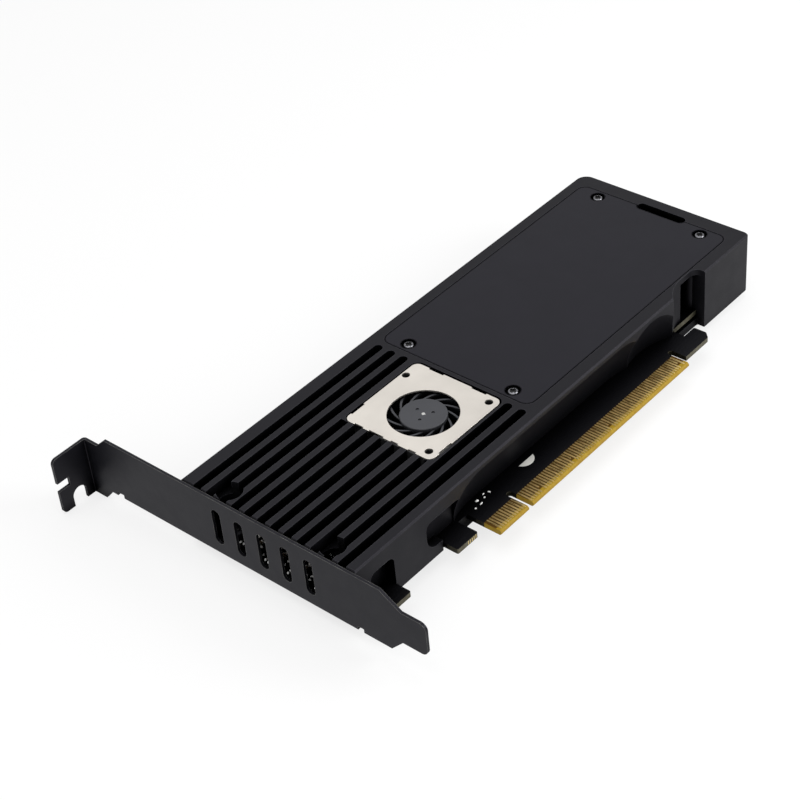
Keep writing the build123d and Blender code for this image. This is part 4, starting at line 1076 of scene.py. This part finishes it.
@dataclass
class ScrewSet:
    """The screws of one modelled node: a crowned head with a cross recess, and a plain shank.

    Attributes:
        node: The modelled screws that they stand for.
        slot: The record's material slot.
        metal: The finish of head and shank.
        head_height: The height of the head, its crown included.
        shank_radius: The radius of the shank.
        head_share: The head's width as a share of the modelled one's.
        upwards: Whether the head points to +Z.
        crown: The share of the head's height that is crowned.
        crown_steps: The steps of the crown: each one's share of its height, and how far it narrows.
        recess_depth: The depth of the cross recess, as a share of the head's height.
        recess_reach: The reach of the cross from the screw's middle, as a share of the head's radius.
        recess_width: The width of one slot of the cross.
        sides: The facets of the round.
    """

    node: str
    slot: str
    metal: Finish
    head_height: float
    shank_radius: float
    head_share: float = 1.0
    upwards: bool = True
    crown: float = 0.35
    crown_steps: tuple[Span, ...] = ((0.62, 0.9), (0.38, 0.72))
    recess_depth: float = 0.55
    recess_reach: float = 0.58
    recess_width: float = 0.42
    sides: int = 32

    def drum(self, rule: Rule, radius: str, length: str, lift: float) -> Node:
        """Adds a closed cylinder.

        Args:
            rule: The screws' rule.
            radius: The name of the input that holds its radius.
            length: The name of the input that holds its length.
            lift: How far its middle lies above the seat, as a share of its length.

        Returns:
            The cylinder.
        """
        given = rule.given
        drum = add(rule.tree, "GeometryNodeMeshCylinder", {
            "Vertices": given["Sides"], "Radius": given[radius], "Depth": given[length],
        }, fill_type="NGON")
        return rule.moved(drum, [0.0, 0.0, times(rule.tree, given[length], lift)])

    def head(self, rule: Rule) -> Node:
        """Turns the head, a drum with steps that narrow to a crown, and cuts its recess.

        Args:
            rule: The screws' rule.

        Returns:
            The head, with its seat at the origin.
        """
        tree, given = rule.tree, rule.given
        shape: Any = self.drum(rule, "Head radius", "Drum height", 0.5)
        facing = add(tree, "ShaderNodeSeparateXYZ", {0: add(tree, "GeometryNodeInputNormal")}).outputs[2]
        pair = {0: facing, 1: TOP_FACING}
        top: Any = add(tree, "FunctionNodeCompare", pair, data_type="FLOAT", operation="GREATER_THAN")
        for share, narrower in self.crown_steps:
            step = add(tree, "GeometryNodeExtrudeMesh", {
                "Mesh": shape, "Selection": top, "Offset Scale": times(tree, given["Crown height"], share),
                "Individual": False,
            })
            top = step.outputs["Top"]
            shape = add(tree, "GeometryNodeScaleElements", {"Geometry": step, "Selection": top, "Scale": narrower})
        cross = [
            rule.block([given[width], given[reach], given["Head height"]], [0.0, 0.0, given["Slot middle"]], "Recess")
            for width, reach in (("Slot width", "Slot reach"), ("Slot reach", "Slot width"))
        ]
        meshes = {"Mesh 1": rule.painted(shape, "Metal"), "Mesh 2": cross}
        return add(tree, "GeometryNodeMeshBoolean", meshes, operation="DIFFERENCE", solver="EXACT")

    def build(self) -> None:
        """Builds the screws and puts them in place of the modelled ones."""
        found = solids(self.node)
        size = found[0].size()
        head_width = size.x * self.head_share
        crown_height = self.head_height * self.crown
        seat_z = found[0].high.z - self.head_height if self.upwards else found[0].low.z + self.head_height
        sizes = {
            "Head radius": head_width / 2, "Head height": self.head_height,
            "Drum height": self.head_height - crown_height, "Crown height": crown_height,
            "Shank radius": self.shank_radius, "Shank length": size.z - self.head_height,
            "Slot reach": head_width * self.recess_reach, "Slot width": self.recess_width,
            "Slot middle": self.head_height * (1.5 - self.recess_depth), "Sides": self.sides,
        }
        # The recess's faces take a black finish: painted shade
        finishes = {"Metal": self.metal, "Recess": RECESS_PAINTED_SHADE}
        rule = Rule(self.node + "_detailed", sizes, [s.middle(seat_z) for s in found], finishes)
        shank = rule.painted(self.drum(rule, "Shank radius", "Shank length", -0.5), "Metal")
        whole = add(rule.tree, "GeometryNodeJoinGeometry", {0: [self.head(rule), shank]})
        turn = (0.0 if self.upwards else pi, 0, 0)
        rule.finish(rule.repeat(whole, Rotation=turn), self.slot, self.node)


@dataclass
class SolderedParts:
    """Small parts with a body and two tinned ends, soldered flat on the board.

    Attributes:
        node: The modelled parts that they stand for.
        slot: The record's material slot.
        body: The finish of the parts' bodies.
        end: The length of one tinned end.
        along_y: Whether the parts lie along Y.
        solder: How far the solder reaches past an end.
        slack: How much lower and narrower a body is than its ends.
        fillet_width: The width of the solder as a share of the part's.
        fillet_height: Its height as a share of the part's.
    """

    node: str
    slot: str
    body: Finish
    end: float = 0.4
    along_y: bool = False
    solder: float = 0.25
    slack: float = 0.04
    fillet_width: float = 1.1
    fillet_height: float = 0.45

    def build(self) -> None:
        """Builds the parts."""
        parts = solids(self.node)
        size = parts[0].size()
        length, width = (size.y, size.x) if self.along_y else (size.x, size.y)
        body_height, fillet_height = size.z - self.slack, size.z * self.fillet_height
        sizes = {
            "Body length": length - 2 * self.end, "Body width": width - self.slack, "Body height": body_height,
            "Body middle": body_height / 2, "Body place": 0.0,
            "End length": self.end, "End width": width, "End height": size.z,
            "End middle": size.z / 2, "End place": (length - self.end) / 2,
            "Fillet length": self.solder, "Fillet width": width * self.fillet_width, "Fillet height": fillet_height,
            "Fillet middle": fillet_height / 2, "Fillet place": (length + self.solder) / 2,
        }
        middles = [s.middle(s.low.z) for s in parts]
        rule = Rule(self.node + "_detailed", sizes, middles, {"Body": self.body, "Tin": TINNED_END})
        given = rule.given
        blocks = []
        ends = (1.0, -1.0)
        for part, label, ways in (("Body", "Body", (1.0,)), ("End", "Tin", ends), ("Fillet", "Tin", ends)):
            for way in ways:
                x = times(rule.tree, given[part + " place"], way)
                block_size = [given[f"{part} {measure}"] for measure in ("length", "width", "height")]
                blocks.append(rule.block(block_size, [x, 0.0, given[part + " middle"]], label))
        whole = add(rule.tree, "GeometryNodeJoinGeometry", {0: blocks})
        turn = (0, 0, pi / 2 if self.along_y else 0.0)
        rule.finish(rule.repeat(whole, Rotation=turn), self.slot, self.node)


@dataclass
class PlatingLines:
    """Short upright lines of gold on the sawn edge of the second tab, where its plating bars were cut.

    Attributes:
        edge_y: The tab's sawn edge.
        last_x: The line next to the tab's far corner.
        pitch: From one line to the next, along X.
        count: How many lines there are.
        width: The width of a line.
        height: The height of a line.
        proud: How far a line stands out of the edge.
    """

    edge_y: float = 4.7
    last_x: float = 40.55
    pitch: float = 0.75
    count: int = 5
    width: float = 0.22
    height: float = 1.2
    proud: float = 0.02

    def build(self) -> None:
        """Builds the lines, halfway up the board."""
        low, high = box_mm("circuit_board")
        start = (self.last_x - (self.count - 1) * self.pitch, self.edge_y, (low.z + high.z) / 2)
        sizes = {
            "Width": self.width, "Height": self.height, "Thickness": 2 * self.proud, "Pitch": self.pitch,
            "Count": self.count,
        }
        rule = Rule("tab_plating_lines", sizes, [start], {"Plating": CONTACT_GOLD})
        tree, given = rule.tree, rule.given
        step = vector(tree, [given["Pitch"], 0.0, 0.0])
        row = add(tree, "GeometryNodeMeshLine", {"Count": given["Count"], "Offset": step})
        line = rule.block([given["Width"], given["Thickness"], given["Height"]], [0.0, 0.0, 0.0], "Plating")
        lines = add(tree, "GeometryNodeInstanceOnPoints", {"Points": row, "Instance": line})
        rule.finish(rule.repeat(lines), "contacts")


@dataclass
class HalfRoundMark:
    """A plain segment of a round in white marking ink on the board, as thin as ink; the rest of the round is left out
    where the housing's shade falls on it, as painted shade.

    Attributes:
        x: The round's middle along X.
        y: The round's middle along Y.
        radius: The round's radius.
        shade_edge_y: The segment is the part of the round below this Y; above it the print is left out as painted
            shade.
        thickness: How far it stands out of the mask.
        sides: The facets of its arc.
    """

    x: float = 70.85
    y: float = 13.06
    radius: float = 3.26
    shade_edge_y: float = 11.9
    thickness: float = 0.02
    sides: int = 40

    def build(self) -> None:
        """Builds the mark on the board's front."""
        sizes = {"Radius": self.radius, "Thickness": self.thickness, "Sides": self.sides}
        middle = (self.x, self.y, box_mm("circuit_board")[1].z)
        rule = Rule("board_round_mark", sizes, [middle], {"Ink": MARKING_INK})
        given = rule.given
        half = acos((self.y - self.shade_edge_y) / self.radius)
        outline = add(rule.tree, "GeometryNodeCurveArc", {
            "Resolution": given["Sides"], "Radius": given["Radius"], "Start Angle": -pi / 2 - half,
            "Sweep Angle": 2 * half,
        }, mode="RADIUS")
        rule.finish(rule.painted(rule.repeat(rule.slab(outline, given["Thickness"])), "Ink"), "board")


@dataclass
class CardBoard:
    """The board's fine pieces: its contacts, its small soldered parts, its mark and its plating lines."""

    edge_dots: tuple[Spot, ...] = (
        (48.1, 10.8), (50.5, 10.8), (52.8, 11.6), (55.2, 12.0), (50.6, 12.35), (53.7, 12.7),
    )
    edge_dot_radius: float = 0.62
    edge_dot_height: float = 0.35
    vent_dots: tuple[Spot, ...] = (
        (4.2, 29.8), (4.3, 28.4), (3.2, 28.1), (1.9, 24.8), (5.0, 37.0), (3.7, 37.0), (2.8, 34.4), (1.8, 34.3),
        (3.15, 44.1), (2.1, 42.4), (1.7, 40.9), (5.5, 47.4), (4.9, 46.5), (6.7, 47.0), (6.9, 53.0), (4.7, 53.1),
        (3.1, 52.2), (3.0, 51.0), (6.6, 50.7),
    )
    vent_dot_seed: int = 8

    def build(self) -> None:
        """Builds all of them."""
        face_z = box_mm("circuit_board")[1].z
        edge_dots, vent_dots = [[(x, y, face_z) for x, y in spots] for spots in (self.edge_dots, self.vent_dots)]
        pieces = (
            ContactRow("edge_contacts_front", Side.FRONT),
            ContactRow("edge_contacts_rear", Side.REAR),
            SolderedParts("ceramic_capacitors", "ceramic", CERAMIC_BODY),
            SolderedParts("indicator_leds", "led", LAMP_RESIN, end=0.3, along_y=True),
            SolderDots("edge_solder", edge_dots, self.edge_dot_radius, self.edge_dot_height),
            SolderDots("vent_solder", vent_dots, seed=self.vent_dot_seed),
            HalfRoundMark(),
            PlatingLines(),
        )
        for piece in pieces:
            piece.build()


@dataclass
class Fasteners:
    """The card's screws, all but the cover's, which keep their modelled shape."""

    def build(self) -> None:
        """Builds the screws, set by set."""
        sets = (
            ScrewSet(
                "lid_screws", "lid_screws", BRIGHT_NICKEL, head_height=0.8, shank_radius=1.2,
                head_share=0.88, recess_reach=0.68, recess_width=0.95, recess_depth=0.7,
            ),
            ScrewSet("bracket_screws", "screws", BLACK_ZINC, head_height=1.8, shank_radius=1.45, recess_width=0.8),
            ScrewSet("fan_screws", "screws", BLACK_ZINC, head_height=0.9, shank_radius=0.7, recess_width=0.3),
            ScrewSet("drive_screws", "bare_screws", NICKEL_PLATE, head_height=0.7, shank_radius=0.85),
            ScrewSet(
                "rear_drive_screws", "bare_screws", NICKEL_PLATE, head_height=0.7, shank_radius=0.85, upwards=False,
            ),
        )
        for screws in sets:
            screws.build()


@dataclass(frozen=True)
class Lamp:
    """A soft square lamp that faces the card's middle.

    Attributes:
        name: The lamp's name.
        place: Where it hangs, from the card's middle.
        width: Its width and height.
        power: Its power in watts.
    """

    name: str
    place: Place
    width: float
    power: float

    def build(self) -> None:
        """Hangs the lamp."""
        data = bpy.data.lights.new(self.name, "AREA")
        data.shape = "SQUARE"
        data.size = self.width * MM
        data.energy = self.power
        hung = bpy.data.objects.new(self.name, data)
        middle = (cad_bounds[0] + cad_bounds[1]) / 2
        away = Vector(self.place) * MM
        hung.matrix_world = Matrix.Translation(middle + away) @ away.to_track_quat("Z", "Y").to_matrix().to_4x4()
        bpy.context.scene.collection.objects.link(hung)


@dataclass
class Studio:
    """Floor, light and camera.

    Attributes:
        azimuth: The camera's angle round the card, in degrees.
        elevation: Its angle above the horizon, in degrees.
        roll: Its turn about its own axis, in degrees.
        distance: From the camera to what it aims at.
        target: What it aims at.
        focal_px: Its focal length, in pixels of the frame.
        frame_px: The frame's width, in pixels.
        sensor: The width of its sensor.
        clip: The nearest and farthest that it sees.
        floor_half: Half the floor's width.
        floor_drop: How far the floor lies below the card.
        floor_glow: How much of the floor's look is plain white, and not paper in the lamps' light.
        sky_light: How strongly the surroundings light the card.
        lamps: The lamps.
    """

    azimuth: float = -46.02
    elevation: float = 38.33
    roll: float = -5.86
    distance: float = 541.4
    target: Place = (71.3, 56.22, 0.0)
    focal_px: float = 1947.14
    frame_px: int = 800
    sensor: float = 36.0
    clip: Span = (10.0, 20000.0)
    floor_half: float = 2500.0
    floor_drop: float = 0.02
    floor_glow: float = 0.75
    sky_light: float = 0.45
    lamps: tuple[Lamp, ...] = (
        Lamp("key", (330, -440, 300), 300, 2.6),
        Lamp("top", (-80, 60, 800), 700, 3.4),
        Lamp("fill", (-620, -260, 300), 500, 0.9),
    )

    def camera(self) -> None:
        """Sets the camera where the photograph was taken."""
        turn, rise, lean = radians(self.azimuth), radians(self.elevation), radians(self.roll)
        back = Vector((sin(turn) * cos(rise), -cos(turn) * cos(rise), sin(rise)))
        level = Vector((cos(turn), sin(turn), 0))
        upright = back.cross(level)
        right = level * cos(lean) + upright * sin(lean)
        up = upright * cos(lean) - level * sin(lean)
        data = bpy.data.cameras.new("camera")
        data.sensor_width = self.sensor
        data.lens = self.focal_px / self.frame_px * self.sensor
        data.clip_start, data.clip_end = self.clip[0] * MM, self.clip[1] * MM
        eye = bpy.data.objects.new("camera", data)
        place = (Vector(self.target) + back * self.distance) * MM
        eye.matrix_world = Matrix.Translation(place) @ Matrix((right, up, back)).transposed().to_4x4()
        bpy.context.scene.collection.objects.link(eye)
        bpy.context.scene.camera = eye

    def seen_plainly(self, tree: Tree) -> Node:
        """Gives 1 for rays of the camera, reflections and refractions, and 0 for the light that falls on things."""
        path = add(tree, "ShaderNodeLightPath").outputs
        seen = add(tree, "ShaderNodeMath", {0: path["Is Camera Ray"], 1: path["Is Glossy Ray"]}, operation="MAXIMUM")
        return add(tree, "ShaderNodeMath", {0: seen, 1: path["Is Transmission Ray"]}, operation="MAXIMUM")

    def sky(self) -> None:
        """Makes the surroundings: white where they are seen, and soft grey as a light."""
        world = bpy.data.worlds.new("studio")
        tree = blank(world)
        soft, white = [
            add(tree, "ShaderNodeBackground", {"Color": linear("#ffffff"), "Strength": strength})
            for strength in (self.sky_light, 1.0)
        ]
        mix = add(tree, "ShaderNodeMixShader", {0: self.seen_plainly(tree), 1: soft, 2: white})
        add(tree, "ShaderNodeOutputWorld", {"Surface": mix})
        bpy.context.scene.world = world

    def floor(self) -> None:
        """Lays the pale floor under the card's lowest point."""
        z = cad_bounds[0].z - self.floor_drop * MM
        half = self.floor_half * MM
        mesh = bpy.data.meshes.new("floor")
        mesh.from_pydata([(-half, -half, z), (half, -half, z), (half, half, z), (-half, half, z)], [], [(0, 1, 2, 3)])
        laid = placed("floor", mesh)
        made = bpy.data.materials.new("matt_white_paper")
        tree = blank(made)
        paper = add(tree, "ShaderNodeBsdfDiffuse", {"Color": linear("#f4f4f4")})
        glow = add(tree, "ShaderNodeEmission", {"Color": linear("#ffffff"), "Strength": 1.0})
        share = times(tree, self.seen_plainly(tree), self.floor_glow)
        mix = add(tree, "ShaderNodeMixShader", {0: share, 1: paper, 2: glow})
        add(tree, "ShaderNodeOutputMaterial", {"Surface": mix})
        mesh.materials.append(made)

    def build(self) -> None:
        """Sets up the whole studio."""
        self.floor()
        self.sky()
        for lamp in self.lamps:
            lamp.build()
        self.camera()
        bpy.context.scene.view_settings.view_transform = "Standard"


def main() -> None:
    """Dresses the card, builds its fine pieces and sets up the studio."""
    dress_nodes()
    CardShells().build()
    CardBoard().build()
    Fasteners().build()
    Studio().build()


if __name__ == "__main__":
    main()
